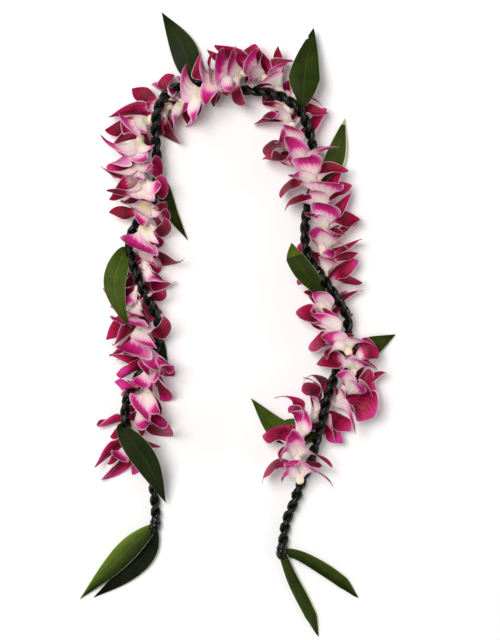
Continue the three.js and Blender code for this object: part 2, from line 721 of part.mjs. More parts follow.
// A point of a tepal: its midrib bends outwards in an arc, and its edges curl to one side. Across,
// it lies round the thread, so that outer and inner tepals stay nested in each other.
function tepalPoint(bloomPlace, tepal, share, across, extraWidth) {
  const angle = mix(tepal.start, tepal.end, share);
  const bend = tepal.end - tepal.start;
  const reach = TEPAL_ROOT + (tepal.length * (Math.cos(tepal.start) - Math.cos(angle))) / bend;
  const rise = (tepal.length * (Math.sin(angle) - Math.sin(tepal.start))) / bend;
  const half = Math.min(tepalWidth(tepal, share) / 2, reach * TEPAL_WRAP) + extraWidth;
  const turn = tepal.twist * share ** 2;
  const curl = tepal.cup * half * across * across;
  const sideways = half * across * Math.cos(turn) - curl * Math.sin(turn);
  const inwards = half * across * Math.sin(turn) + curl * Math.cos(turn);
  const radius = reach - inwards * Math.cos(angle);
  const forward = tepal.form.root + rise + inwards * Math.sin(angle);
  const away = tepal.away + tepal.bow * share ** 2 + sideways / Math.max(radius, TEPAL_ROOT);
  const azimuth = pick(ropeAngle, bloomPlace + forward) + away;
  const nodding = tepal.nod[0] * Math.cos(azimuth) + tepal.nod[1] * Math.sin(azimuth);
  const place = bloomPlace + forward + radius * (leaning(azimuth) + nodding);
  return clearOfLeaves(clearOfRope(besideThread(place, radius, away), pick(strand.marks, place)));
}

// The section of a tepal at a station: left edge, face, right edge and back.
function tepalSections(bloomPlace, tepal, swell) {
  const { stations } = tepal.form;
  const at = (share, across) => tepalPoint(bloomPlace, tepal, share, across, swell);
  return stations.slice(0, -1).map((share, k) => {
    const middle = at(share, 0);
    const left = at(share, -1);
    const right = at(share, 1);
    const before = k > 0 ? at(stations[k - 1], 0) : at(0, 0);
    const along = at(stations[k + 1], 0).sub(before);
    const normal = right.clone().sub(left).cross(along).normalize();
    const half = TEPAL_THICKNESS / 2 + swell;
    const face = middle.clone().addScaledVector(normal, -half);
    return [left, face, right, middle.addScaledVector(normal, half)];
  });
}

// A bloom is one closed surface. Round the middle of its throat runs a belt with four corners for
// the root of each tepal, and one corner on the side of the rope, where there is no tepal. Fans
// join the belt to the rims of the throat, and the bore closes it.
function bloomSolid(bloomPlace, mine, swell) {
  const points = [];
  const faces = [];
  const add = (point) => points.push(point) - 1;
  const at = (distance, radius, away) => add(besideThread(bloomPlace + distance, radius, away));
  const sectors = [...mine, { away: 0 }].sort((a, b) => a.away - b.away);
  const ring = ([distance, radius]) => sectors.map(({ away }) => at(distance, radius, away));
  const bore = (distance) => sectors.map(({ away }) => {
    const untwisted = pick(ropeAngle, bloomPlace) - pick(ropeAngle, bloomPlace + distance);
    return at(distance, BORE_RADIUS, away + untwisted);
  });
  const back = ring([THROAT_BACK[0], THROAT_BACK[1] + swell]);
  const front = ring([THROAT_FRONT[0], THROAT_FRONT[1] + swell]);
  const boreBack = bore(THROAT_BACK[0]);
  const boreFront = bore(THROAT_FRONT[0]);
  const half = TEPAL_THICKNESS / 2 + ROOT_FLARE + swell;
  const roots = sectors.map(({ form, away, toNext, toLast }) => (form ? [
    at(form.root, TEPAL_ROOT + swell, away - toLast),
    at(form.root + half, TEPAL_ROOT, away),
    at(form.root, TEPAL_ROOT + swell, away + toNext),
    at(form.root - half, TEPAL_ROOT + 2 * swell, away),
  ] : [at(0, TEPAL_ROOT + swell, away)]));
  sectors.forEach((tepal, k) => {
    const next = (k + 1) % sectors.length;
    const [left, face, , rear] = roots[k];
    const right = tepal.form ? roots[k][2] : left;
    const nextLeft = roots[next][0];
    faces.push([back[k], nextLeft, right], [back[k], back[next], nextLeft]);
    faces.push([front[k], right, nextLeft], [front[k], nextLeft, front[next]]);
    faces.push([boreBack[k], back[next], back[k]], [boreBack[k], boreBack[next], back[next]]);
    faces.push([front[k], front[next], boreFront[k]], [boreFront[k], front[next], boreFront[next]]);
    faces.push([boreFront[k], boreBack[next], boreBack[k]]);
    faces.push([boreFront[k], boreFront[next], boreBack[next]]);
    if (!tepal.form) return;
    faces.push([back[k], rear, left], [back[k], right, rear]);
    faces.push([front[k], left, face], [front[k], face, right]);
    const sections = tepalSections(bloomPlace, tepal, swell).map((section) => section.map(add));
    const tip = add(tepalPoint(bloomPlace, { ...tepal, length: tepal.length + swell }, 1, 0, 0));
    let inner = roots[k];
    sections.forEach((outer) => {
      faces.push([inner[0], outer[1], inner[1]], [inner[0], outer[0], outer[1]]);
      faces.push([inner[1], outer[1], inner[2]], [inner[2], outer[1], outer[2]]);
      faces.push([inner[2], outer[3], inner[3]], [inner[2], outer[2], outer[3]]);
      faces.push([inner[3], outer[3], inner[0]], [inner[0], outer[3], outer[0]]);
      inner = outer;
    });
    inner.forEach((corner, n) => faces.push([corner, tip, inner[(n + 1) % inner.length]]));
  });
  return solidFrom(points, faces);
}

function blooms() {
  const spacing = (strandEnd - 2 * BLOOM_MARGIN) / (BLOOMS - 1);
  return Array.from({ length: BLOOMS }, (_, k) => {
    const place = BLOOM_MARGIN + k * spacing + between(-1.2, 1.2, k, 2);
    const mine = tepals(k);
    const build = (swell) => bloomSolid(place, mine, swell);
    const name = `orchid_bloom_${String(k + 1).padStart(2, "0")}`;
    return { name, build, finish: FINISHES.bloom };
  });
}

// Assembly

function geometryOf(solid) {
  const { numProp, vertProperties, triVerts } = solid.getMesh();
  const geometry = new THREE.BufferGeometry();
  geometry.setAttribute("position", new THREE.BufferAttribute(vertProperties, numProp));
  geometry.setIndex(new THREE.BufferAttribute(triVerts, 1));
  return geometry.toNonIndexed();
}

const boxOf = (solid) => {
  const { min, max } = solid.boundingBox();
  return new THREE.Box3(vector(...min), vector(...max));
};

// Each piece is cut back where it would touch one that is already in place. Scraps are dropped.
function cutClear(pieces) {
  const placed = [];
  pieces.forEach((piece) => {
    let solid = piece.build(0);
    const box = boxOf(solid);
    placed.forEach((other) => {
      if (!box.intersectsBox(other.box)) return;
      if (solid.intersect(other.solid).volume() < 1e-4) return;
      solid = largest(solid.subtract(other.swollen().add(other.solid)));
    });
    let swollen = null;
    const swollenOnce = () => {
      swollen ??= piece.build(SWELL);
      return swollen;
    };
    placed.push({ ...piece, solid: largest(solid), box, swollen: swollenOnce });
  });
  return placed;
}

const lei = new THREE.Group();
cutClear([...ends, ...strips, thread(), ...blooms()]).forEach(({ name, solid, finish }) => {
  const material = new THREE.MeshStandardMaterial({ ...finish, metalness: 0 });
  const mesh = new THREE.Mesh(geometryOf(solid), material);
  mesh.name = name;
  lei.add(mesh);
});

export default lei;
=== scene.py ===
# %% [markdown]
# # A fresh flower lei
#
# A lei is a garland for the shoulders. This one is a strand of dendrobium orchid blooms on a
# cotton thread, wound round a rope of dark ti leaf. It lies open on a table, in the shape of an
# arch. Every shape is a formula on a grid of two parameters, worked out with numpy as whole arrays
# in millimetres, and turned into metres at the end.

import math
from functools import partialmethod

import bpy
import numpy as np
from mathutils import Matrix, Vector


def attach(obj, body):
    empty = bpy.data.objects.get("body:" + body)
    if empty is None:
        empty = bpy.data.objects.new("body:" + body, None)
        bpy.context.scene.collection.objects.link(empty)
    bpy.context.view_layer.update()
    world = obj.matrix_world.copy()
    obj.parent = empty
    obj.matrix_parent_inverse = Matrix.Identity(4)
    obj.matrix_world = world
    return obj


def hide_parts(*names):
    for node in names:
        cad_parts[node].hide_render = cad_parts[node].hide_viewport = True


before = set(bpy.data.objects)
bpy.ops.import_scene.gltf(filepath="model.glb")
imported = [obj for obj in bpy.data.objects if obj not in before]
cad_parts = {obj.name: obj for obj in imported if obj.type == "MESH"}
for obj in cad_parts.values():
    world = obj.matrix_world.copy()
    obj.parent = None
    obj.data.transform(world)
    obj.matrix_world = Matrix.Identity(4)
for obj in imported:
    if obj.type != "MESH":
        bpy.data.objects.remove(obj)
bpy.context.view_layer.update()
scene = bpy.context.scene


def placed(name, data):
    """A new object in the scene."""
    thing = bpy.data.objects.new(name, data)
    scene.collection.objects.link(thing)
    return thing


print("solids in the frame:", len(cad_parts))

# %% [markdown]
# ## Camera, floor and light
#
# The camera looks straight down with a rather long lens, and a millimetre at petal height is a
# pixel of a 500 x 640 frame. On the white paper the shadows are short and soft and fall to the
# lower right, as from a large soft box at the upper left in a white room. A small hard lamp would
# be easier to place, but would draw every petal's edge on the paper.

# %% Camera
MM = 0.001
PICTURE_MM = 640
LENS = 85
SENSOR = 36
AIM = (10.4, 2.1, 16)
camera_data = bpy.data.cameras.new("camera")
camera_data.lens = LENS
camera_data.sensor_width = SENSOR
camera = placed("camera", camera_data)
scene.camera = camera
camera.location = (AIM[0] * MM, AIM[1] * MM, PICTURE_MM * MM * LENS / SENSOR + AIM[2] * MM)
print("camera height in metres:", round(camera.location.z, 3))

# %% Floor and light
# The place in metres, the size, the watts and the colour of each square lamp.
LAMPS = {
    "key": ((-0.66, 0.42, 1.96), 1.05, 41, (1.0, 0.985, 0.96)),
    "wall_right": ((2.2, -0.4, 0.7), 1.4, 22, (0.99, 0.99, 1.0)),
    "wall_left": ((-2.2, -0.9, 0.7), 1.4, 16, (1.0, 0.99, 0.98)),
}
ROOM_LIGHT = 0.3
FLOOR_HALF, FLOOR_HEIGHT = 4.0, -0.0003

for name, (place, size, watts, colour) in LAMPS.items():
    light = bpy.data.lights.new(name, "AREA")
    light.size = size
    light.energy = watts
    light.color = colour
    lamp = placed(name, light)
    lamp.location = place
    lamp.rotation_euler = Vector(place).to_track_quat("Z", "Y").to_euler()

world = bpy.data.worlds.new("room")
world.use_nodes = True
background = world.node_tree.nodes["Background"]
background.inputs["Color"].default_value = (1, 1, 1, 1)
background.inputs["Strength"].default_value = ROOM_LIGHT
scene.world = world
scene.view_settings.view_transform = "Standard"

floor_mesh = bpy.data.meshes.new("paper_floor")
floor_corners = [(-1, -1), (1, -1), (1, 1), (-1, 1)]
floor_mesh.from_pydata([(x * FLOOR_HALF, y * FLOOR_HALF, FLOOR_HEIGHT) for x, y in floor_corners],
                       [], [(0, 1, 2, 3)])
placed("paper_floor", floor_mesh)
print("lamps:", len(LAMPS))

# %% [markdown]
# ## Chance, the same each time
#
# No two blooms are alike. A random generator would give other numbers if one more were drawn
# before them, so each number is worked out from the bloom and the item it is for, by the same rule
# as in the solids.

# %% Numbers by chance
SEED = 28
TURN = 2 * math.pi
BLOOM_STEP, ITEM_STEP, FAR = 12.9898, 78.233, 43758.5453


def draw(bloom, item):
    """A number from 0 to 1: the far decimals of a sine."""
    far = math.sin(bloom * BLOOM_STEP + item * ITEM_STEP + SEED) * FAR
    return far - math.floor(far)


def mix(a, b, share):
    """a at share 0, b at share 1, and a straight line between them."""
    return a + (b - a) * share


def between(low, high, bloom, item):
    """A number between two limits."""
    return mix(low, high, draw(bloom, item))


def smoothstep(x, low, high):
    """0 below low, 1 above high, and 3t squared less 2t cubed between them."""
    t = np.clip((x - low) / (high - low), 0, 1)
    return t * t * (3 - 2 * t)


def hump(x, half):
    """e to the power of less the square of x over half: 1 at zero, soon 0 on both sides."""
    return np.exp(-(x / half) ** 2)


print("first numbers:", [round(draw(0, item), 3) for item in (1, 2, 10)])

# %% [markdown]
# ## Lines through points
#
# The rope and the strand are smooth curves through a few dozen points, and steps of one millimetre
# along them are an even ruler for every later formula. Blender's own curves could do the same, but
# can't be asked for places as whole arrays.

# %% Curves, rulers and frames along them
ROUTE_STEPS = 40
SAMPLE = 1.0
UP = np.array([0.0, 0.0, 1.0])


def unit(vectors):
    """Each vector divided by its length."""
    return vectors / np.maximum(np.linalg.norm(vectors, axis=-1, keepdims=True), 1e-9)


def route(points):
    """Cubics whose slope at a point is half the way from the point before to the point after. Past
    the ends the points go straight on."""
    p = np.array([(*point, 0.0)[:3] for point in points], float)
    p = np.vstack([2 * p[0] - p[1], p, 2 * p[-1] - p[-2]])
    count = (len(points) - 1) * ROUTE_STEPS
    place = np.arange(count + 1) / ROUTE_STEPS
    k = np.minimum(place.astype(int), len(points) - 2)
    t = (place - k)[:, None]
    before, start, end, after = (p[k + n] for n in range(4))
    slope, next_slope = (end - before) / 2, (after - start) / 2
    return (start + slope * t + (3 * (end - start) - 2 * slope - next_slope) * t**2
            + (2 * (start - end) + slope + next_slope) * t**3)


def pick(values, place):
    """The value at a fractional place in a list, on a straight line between two neighbours."""
    k = np.clip(np.floor(place).astype(int), 0, len(values) - 2)
    share = place - k
    if values.ndim > 1:
        share = share[..., None]
    return values[k] + (values[k + 1] - values[k]) * share


def resampled(points):
    """The same line with points one millimetre apart, and the place in the list of each."""
    reach = np.concatenate([[0], np.cumsum(np.linalg.norm(np.diff(points, axis=0), axis=1))])
    places = np.interp(np.arange(0, reach[-1], SAMPLE), reach, np.arange(len(points)))
    return pick(points, places), places


def smoothed(values, window):
    """The mean over a window, twice. Past its ends the list is turned about its last value."""
    half = (window - 1) // 2
    for _ in range(2):
        low = 2 * values[0] - values[half:0:-1]
        high = 2 * values[-1] - values[-2:-half - 2:-1]
        total = np.cumsum(np.concatenate([[0 * values[0]], low, values, high]), axis=0)
        values = (total[window:] - total[:-window]) / window
    return values


def directions(points):
    """At each point, the direction from the one before to the one after."""
    after = np.concatenate([points[1:], points[-1:]])
    return unit(after - np.concatenate([points[:1], points[:-1]]))


def frame_at(line, place):
    """The place on a line, the direction along it, the level direction to its left, and up."""
    points, along = line
    forward = unit(pick(along, place))
    side = unit(np.cross(UP, forward))
    return pick(points, place), forward, side, np.cross(forward, side)


print("millimetres along a small bend:", len(resampled(route([(0, 0), (10, 6), (20, 0)]))[0]))

# %% [markdown]
# ## Where the rope and the flower strand run
#
# The rope's middle is followed in plan from its right end over the arch to its left end. The
# strand goes once round it for every four points of the second list. Flowers on top press the rope
# down, so both heights follow the same angle. A spring along the rope would wind evenly, but this
# strand doesn't. The solids were made from the same lines.

# %% The two lines
ROPE_ROUTE = [
    [44, -231], [47, -208], [51, -193], [55, -184], [60, -171], [66, -156], [73, -140], [79, -115],
    [84, -96], [88, -78], [95, -58], [105, -33], [110, -13], [109, 4], [102, 18], [93, 31],
    [82, 47], [73, 60], [68, 74], [67, 92], [69, 110], [73, 126], [77, 140], [78, 154], [76, 168],
    [73, 182], [68, 198], [60, 211], [48, 221], [34, 227], [20, 230], [6, 232], [-8, 234],
    [-24, 238], [-38, 239], [-52, 237], [-65, 231], [-74, 222], [-80, 209], [-82, 195], [-82, 180],
    [-81, 160], [-81, 142], [-84, 128], [-90, 115], [-98, 104], [-105, 93], [-108, 80], [-106, 64],
    [-101, 48], [-94, 31], [-86, 15], [-80, 0], [-80, -15], [-86, -32], [-97, -50], [-108, -70],
    [-112, -88], [-110, -106], [-103, -124], [-94, -140], [-87, -158], [-84, -178], [-83, -198],
    [-84, -206],
]
QUARTER_TURNS = [
    [62, -165], [77, -121], [86, -88], [99, -48], [108, -23], [109, 4], [89, 37], [67, 92],
    [75, 137], [72, 182], [52, 218], [12, 231], [-28, 238], [-55, 237], [-76, 218], [-82, 172],
    [-91, 114], [-107, 74], [-98, 42], [-80, 2], [-88, -36], [-110, -73], [-109, -108], [-92, -144],
]
# Moves the traced points so that the middle of the lei's outline is at the origin.
ORIGIN = np.array([-1.6, 0.15])
ROPE_MEAN_HEIGHT, ROPE_RISE, END_HEIGHT, END_REACH = 17.2, 11.4, 5.8, (30, 66)
STRAND_OFFSET, STRAND_HEIGHT, STRAND_RISE = 19, 18, 4.5
STRAND_START, STRAND_END_MARGIN = 72, 76
TURN_WINDOW, STRAND_WINDOW = 41, 31
LOOP_DISTANCE, LOOP_LIFT = 12, (2.6, 13)

plan, _ = resampled(route(np.array(ROPE_ROUTE) + ORIGIN))
rope_end = len(plan) - 1
marks = np.arange(len(plan))


def nearest_mark(x, y):
    """The sample of the rope's plan that is nearest to a plan point."""
    return int(np.argmin(np.hypot(plan[:, 0] - x - ORIGIN[0], plan[:, 1] - y - ORIGIN[1])))


def winding_angles():
    """The strand's angle round the rope, less by a quarter turn at each listed point, smoothed."""
    turn_marks = np.array([nearest_mark(*point) for point in QUARTER_TURNS])
    n = np.clip(np.searchsorted(turn_marks, marks) - 1, 0, len(turn_marks) - 2)
    gone = n + (marks - turn_marks[n]) / (turn_marks[n + 1] - turn_marks[n])
    return smoothed((1 - gone) * math.pi / 2, TURN_WINDOW)


winding = winding_angles()


def rope_heights():
    """Low at the bare ends, between them the mean height less the rise times the sine of the
    winding, and a small hump at each thread loop."""
    share = smoothstep(np.minimum(marks, rope_end - marks), *END_REACH)
    loops = np.array([STRAND_START - LOOP_DISTANCE, rope_end - STRAND_END_MARGIN + LOOP_DISTANCE])
    humps = hump(marks[:, None] - loops, LOOP_LIFT[1]).max(axis=1)
    wound = ROPE_MEAN_HEIGHT - ROPE_RISE * np.sin(winding)
    return mix(END_HEIGHT, wound, share) + LOOP_LIFT[0] * humps


rope_points = np.column_stack([plan[:, :2], rope_heights()])
rope = (rope_points, directions(rope_points))


def strand_line():
    """The plan moved sideways with the cosine of the winding, at a height that rises with its
    sine, then smoothed."""
    side = np.cross(UP, directions(plan))
    raw = plan + side * (STRAND_OFFSET * np.cos(winding))[:, None]
    raw[:, 2] = STRAND_HEIGHT + STRAND_RISE * np.sin(winding)
    cut = smoothed(raw, STRAND_WINDOW)[STRAND_START:rope_end - STRAND_END_MARGIN + 1]
    points, places = resampled(cut)
    return (points, directions(points)), places + STRAND_START


strand, strand_marks = strand_line()
strand_end = len(strand[0]) - 1
print("rope and strand in millimetres:", rope_end, strand_end)

# %% [markdown]
# ## Turning grids into pieces
#
# A petal is a thin closed sheet: a grid for its face, one for its back, and a narrow rim. A rope or
# a thread is a tube with capped ends. A modifier could thicken a plain grid, but wouldn't know the
# face from the back. Here each point brings what its material needs to know as attributes.

# %% Sheets, tubes and pieces
SHARP_ANGLE = math.radians(65)
PLAIN = [1.0, 1.0, 1.0, 1.0]


def turns(count):
    """The angles once round, as a row."""
    return np.linspace(0, TURN, count, endpoint=False)[None, :]


def rings_at(centre, side, up, across, rise):
    """For each row its centre, moved along its two directions by each ring's two distances."""
    return centre[:, None] + side[:, None] * across[..., None] + up[:, None] * rise[..., None]


def pairs(first, second):
    """Two numbers for each point of a grid."""
    return np.stack(np.broadcast_arrays(first, second), axis=-1).reshape(-1, 2)


def cells(rows, columns, wrap_rows=False, wrap_columns=False):
    """The four-cornered faces between the points of a grid, which may close on itself."""
    index = np.arange(rows * columns).reshape(rows, columns)
    if wrap_rows:
        index = np.vstack([index, index[:1]])
    if wrap_columns:
        index = np.hstack([index, index[:, :1]])
    corners = index[:-1, :-1], index[:-1, 1:], index[1:, 1:], index[1:, :-1]
    return np.stack(corners, axis=-1).reshape(-1, 4)


def normals(grid):
    """At each point of a grid, across the steps down its rows and along its columns."""
    return unit(np.cross(np.gradient(grid, axis=0), np.gradient(grid, axis=1)))


def outward(points, faces):
    """The same faces turned to point out: the sum of corner triple products is six times the
    volume, and is negative when they point in."""
    a, b, c, d = (points[faces[:, n]] for n in range(4))
    volume = np.sum(np.cross(a, b) * c) + np.sum(np.cross(a, c) * d)
    return points, faces if volume > 0 else faces[:, ::-1]


def closed_tube(rings):
    """Rings of an even number of points, joined side by side, with four-cornered strips across
    both ends."""
    rows, columns = rings.shape[:2]
    k = np.arange(columns // 2 - 1)
    cap = np.column_stack([k, k + 1, columns - 2 - k, columns - 1 - k])
    sides = cells(rows, columns, wrap_columns=True)
    faces = np.vstack([sides, cap[:, ::-1], cap + (rows - 1) * columns])
    return outward(rings.reshape(-1, 3), faces)


def crosswise(columns):
    """Places from -1 to 1 across a blade, closer together near its edges."""
    return np.sin(np.linspace(-0.5, 0.5, columns) * math.pi)


def closed_sheet(middle, share, across, thickness, edge):
    """A grid moved half its thickness to both sides, less near the edges, and joined by a rim.
    Both sides have the same two numbers for each point."""
    rows, columns = middle.shape[:2]
    shift = normals(middle) * (thickness * (1 - edge * np.abs(across)) / 2)[None, :, None]
    face, back = middle + shift, middle - shift
    count = rows * columns
    index = np.arange(count).reshape(rows, columns)
    border = np.concatenate([index[0], index[1:, -1], index[-1, -2::-1], index[-2:0:-1, 0]])
    after = np.roll(border, -1)
    rim = np.column_stack([after, border, border + count, after + count])
    grid_cells = cells(rows, columns)
    faces = np.vstack([grid_cells[:, ::-1], grid_cells + count, rim[:, ::-1]])
    uv = pairs((1 + across) / 2, share[:, None])
    points = np.vstack([face.reshape(-1, 3), back.reshape(-1, 3)])
    return points, faces, np.vstack([uv, uv])


def joined(parts):
    """Several lists of points and faces as one."""
    starts = np.cumsum([0] + [len(points) for points, _ in parts[:-1]])
    faces = [faces + start for (_, faces), start in zip(parts, starts)]
    return np.vstack([points for points, _ in parts]), np.vstack(faces)


def add_piece(name, node, parts):
    """Makes a piece that stands for a node. Each part has points in millimetres, faces, two
    numbers for each point that say where it is on the blade, four about its finish, and its
    material."""
    points, faces = joined([part[:2] for part in parts])
    uv = np.vstack([part[2] for part in parts])
    finish = np.vstack([np.broadcast_to(part[3], (len(part[0]), 4)) for part in parts])
    materials = list(dict.fromkeys(part[4] for part in parts))
    mesh = bpy.data.meshes.new(name)
    mesh.from_pydata((points * MM).tolist(), [], faces.tolist())
    for material in materials:
        mesh.materials.append(material)
    chosen = np.repeat([materials.index(part[4]) for part in parts], [len(p[1]) for p in parts])
    mesh.polygons.foreach_set("material_index", chosen.astype(np.int32))
    corners = np.zeros(len(mesh.loops), np.int32)
    mesh.loops.foreach_get("vertex_index", corners)
    mesh.uv_layers.new(name="blade").data.foreach_set("uv", uv[corners].astype(np.float32).ravel())
    attribute = mesh.attributes.new("finish", "FLOAT_COLOR", "POINT")
    attribute.data.foreach_set("color", finish.astype(np.float32).ravel())
    mesh.shade_smooth()
    mesh.set_sharp_from_angle(angle=SHARP_ANGLE)
    mesh.validate()
    piece = placed(name, mesh)
    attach(piece, "root")
    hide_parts(node)


print("faces between 3 x 4 points:", len(cells(3, 4)), "and closed:", len(cells(3, 4, True, True)))

# %% [markdown]
# ## Finishes from nodes
#
# Each finish is a small tree of nodes, and the helpers below let it read like a recipe. A picture
# of a petal would be quicker, but nodes stay sharp in a close view and need no file.

# %% Helpers for node trees
def linear(hex_colour):
    """A screen colour such as 0xff8000 as the light that Blender works in."""
    parts = [((hex_colour >> shift) & 255) / 255 for shift in (16, 8, 0)]
    return (*[p / 12.92 if p <= 0.04045 else ((p + 0.055) / 1.055) ** 2.4 for p in parts], 1.0)


class Value:
    """What nodes work out for each point. Python's own signs add the nodes for a sum."""

    def __init__(self, recipe, made, output=0):
        self.recipe, self.socket = recipe, made.outputs[output]

    def math(self, operation, *others, clamp=False):
        inputs = dict(enumerate([self, *others]))
        made = self.recipe.node("Math", inputs, operation=operation, use_clamp=clamp)
        return Value(self.recipe, made)

    __add__ = partialmethod(math, "ADD")
    __sub__ = partialmethod(math, "SUBTRACT")
    __mul__ = partialmethod(math, "MULTIPLY")
    __gt__ = partialmethod(math, "GREATER_THAN")
    __lt__ = partialmethod(math, "LESS_THAN")


class Recipe:
    """A new material with one main shader, and short ways to add nodes to it."""

    def __init__(self, name, **constants):
        self.material = bpy.data.materials.new(name)
        self.material.use_nodes = True
        self.tree = self.material.node_tree
        self.shader = self.tree.nodes["Principled BSDF"]
        self.fill(self.shader, {key.replace("_", " "): value for key, value in constants.items()})

    def fill(self, made, inputs):
        for key, value in inputs.items():
            if isinstance(value, Value):
                self.tree.links.new(value.socket, made.inputs[key])
            else:
                made.inputs[key].default_value = value

    def node(self, kind, inputs, **settings):
        made = self.tree.nodes.new("ShaderNode" + kind)
        for key, value in settings.items():
            setattr(made, key, value)
        self.fill(made, inputs)
        return made

    def blend(self, share, a, b):
        inputs = {0: share, 6: a, 7: linear(b) if isinstance(b, int) else b}
        return Value(self, self.node("Mix", inputs, data_type="RGBA"), 2)

    def ramp(self, value, stops):
        made = self.node("ValToRGB", {0: value})
        elements = made.color_ramp.elements
        while len(elements) < len(stops):
            elements.new(0.5)
        for element, (place, colour) in zip(elements, stops):
            element.position = place
            element.color = linear(colour)
        return Value(self, made)

    def noise(self, vector, scale, detail=2.0):
        inputs = {"Vector": vector, "Scale": scale, "Detail": detail}
        return Value(self, self.node("TexNoise", inputs))

    def streaks(self, scale):
        stretched = self.node("Mapping", {0: self.blade()[0], 3: scale})
        return self.noise(Value(self, stretched), 1.0, 3.0)

    def attribute(self):
        made = self.node("Attribute", {}, attribute_name="finish")
        parts = self.node("SeparateColor", {0: Value(self, made)})
        return *[Value(self, parts, n) for n in range(3)], Value(self, made, "Alpha")

    def blade(self):
        uv = Value(self, self.node("UVMap", {}, uv_map="blade"))
        parts = self.node("SeparateXYZ", {0: uv})
        return uv, Value(self, parts, 0), Value(self, parts, 1)

    def place(self):
        return Value(self, self.node("TexCoord", {}), "Object")

    def finish(self, colour, roughness=None, height=None, depth=0.0):
        inputs = {"Base Color": colour}
        if roughness is not None:
            inputs["Roughness"] = roughness
        if height is not None:
            bump = self.node("Bump", {"Height": height, "Distance": depth, "Strength": 1.0})
            inputs["Normal"] = Value(self, bump)
        self.fill(self.shader, inputs)
        return self.material


paper_recipe = Recipe("white_paper", Roughness=0.9, Specular_IOR_Level=0.1)
clouds = paper_recipe.noise(paper_recipe.place(), 3.0)
paper = paper_recipe.ramp(clouds, [(0.0, 0xF2F2F2), (1.0, 0xF5F5F5)])
floor_mesh.materials.append(paper_recipe.finish(paper))
print("nodes of the paper:", len(paper_recipe.tree.nodes))

# %% [markdown]
# ## The finish of the rope and of the leaves
#
# Ti leaf is a long, thick, glossy blade with fine veins that run nearly along it. Twisted up it
# turns almost black, with grey lines of light on its folds: partly its gloss, and partly a painted
# highlight in lighter streaks. A free tip is a clearer green with a thin pale margin, and brings
# its own tone, a painted light that makes one half lighter and the other darker, and its margins as
# numbers on its points.

# %% Rope finish
STREAKS, PATCHES = (13.0, 1.1, 1.0), 90.0
STREAK_DEPTH = 0.0005


def rope_finish():
    """Nearly black greens: fine streaks along the strip, and broader patches. The grey-green at the
    top of the ramp, on the raised streaks, is a painted highlight.
    """
    recipe = Recipe("twisted_ti_leaf", Roughness=0.3, Specular_IOR_Level=0.25)
    streaks = recipe.streaks(STREAKS)
    patches = recipe.noise(recipe.place(), PATCHES)
    # Painted highlight: the grey-green last stop, reached on the highest streaks, stands for light
    # on the folds.
    colour = recipe.ramp(streaks * 0.75 + patches * 0.35 - 0.05, [
        (0.20, 0x010200), (0.50, 0x040602), (0.68, 0x10180C), (0.84, 0x36442E)])
    return recipe.finish(colour, patches * 0.25 + 0.1, streaks, STREAK_DEPTH)


rope_material = rope_finish()
print("nodes of the twisted leaf:", len(rope_material.node_tree.nodes))

# %% Leaf blade finish
VEINS, VEIN_SLANT, RIB_HALF = 150.0, 0.55, 0.018
VEIN_DEPTH = 0.00012
LEAF_COLOURS = [(0.0, 0x090D02), (0.25, 0x1E2A07), (0.5, 0x3C4B12), (0.75, 0x607A24),
                (1.0, 0x92AC48)]
LEAF_MARGIN = 0xC9CE94


def leaf_finish():
    """The blade's tone, with one half of the end leaves painted lighter and the other darker by the
    light on its fold, slanting veins, a lighter rib, mottling and pale margins.
    """
    recipe = Recipe("ti_leaf_blade", Roughness=0.4, Specular_IOR_Level=0.12)
    _, across, share = recipe.blade()
    tone, right_margin, left_margin, pale_from = recipe.attribute()
    off_rib = (across - 0.5).math("ABSOLUTE")
    vein = ((off_rib - share * VEIN_SLANT) * VEINS).math("SINE")
    mottle = recipe.noise(recipe.place(), 60.0, 3.0)
    # The tone brings the painted light on one half of the end leaves.
    light = tone + vein * 0.035 + (off_rib < RIB_HALF) * 0.16 + (mottle - 0.5) * 0.3
    margin = (across + right_margin > 1.0).math("MAXIMUM", across < left_margin)
    margin = margin.math("MAXIMUM", share > pale_from)
    colour = recipe.blend(margin, recipe.ramp(light, LEAF_COLOURS), LEAF_MARGIN)
    return recipe.finish(colour, mottle * 0.3 + 0.22, vein, VEIN_DEPTH)


leaf_material = leaf_finish()
print("nodes of a leaf blade:", len(leaf_material.node_tree.nodes))

# %% [markdown]
# ## The twisted rope
#
# Two bundles of leaf strip are wound round each other like a two-ply string. The leaf is folded
# lengthwise, so a ply's section has a few lobes with sharp creases between them, which turn slowly
# along it. The section is carried along a helix. An array modifier along a curve would need a
# straight piece first and would shear it in the bends.

# %% Plies
PLY_ORBIT, TWIST_PITCH = 2.7, 24
PLY_DEPTH, PLY_WIDTH = 2.5, 3.3
PLY_AROUND = 36
PLY_STEP = 0.8
PLY_GAP = 0.06
STRIP_GAP = 0.3
TONGUE, TONGUE_THINNER = 3.5, 0.35
# How far the creases go along the ply for one radian round it, how much they stray from that and
# how soon, how sharp they are, and the least size of the section with what the folds add.
CREASE_RUN, CREASE_STRAY, STRAY_RUN, CREASE_SHARP = 17, 0.6, 9.1, 0.55
LEAST_SIZE, FOLD_SIZE, SWELL_SIZE = 0.84, 0.17, 0.05


def ply_centre(ply, mark):
    """A helix: the rope's middle, moved by the orbit in a direction that turns once in a pitch,
    half a turn apart for the two plies."""
    origin, forward, side, up = frame_at(rope, mark)
    angle = TURN * (np.asarray(mark, float)[..., None] / TWIST_PITCH + ply / 2)
    out = side * np.cos(angle) + up * np.sin(angle)
    return origin + out * PLY_ORBIT, out, forward


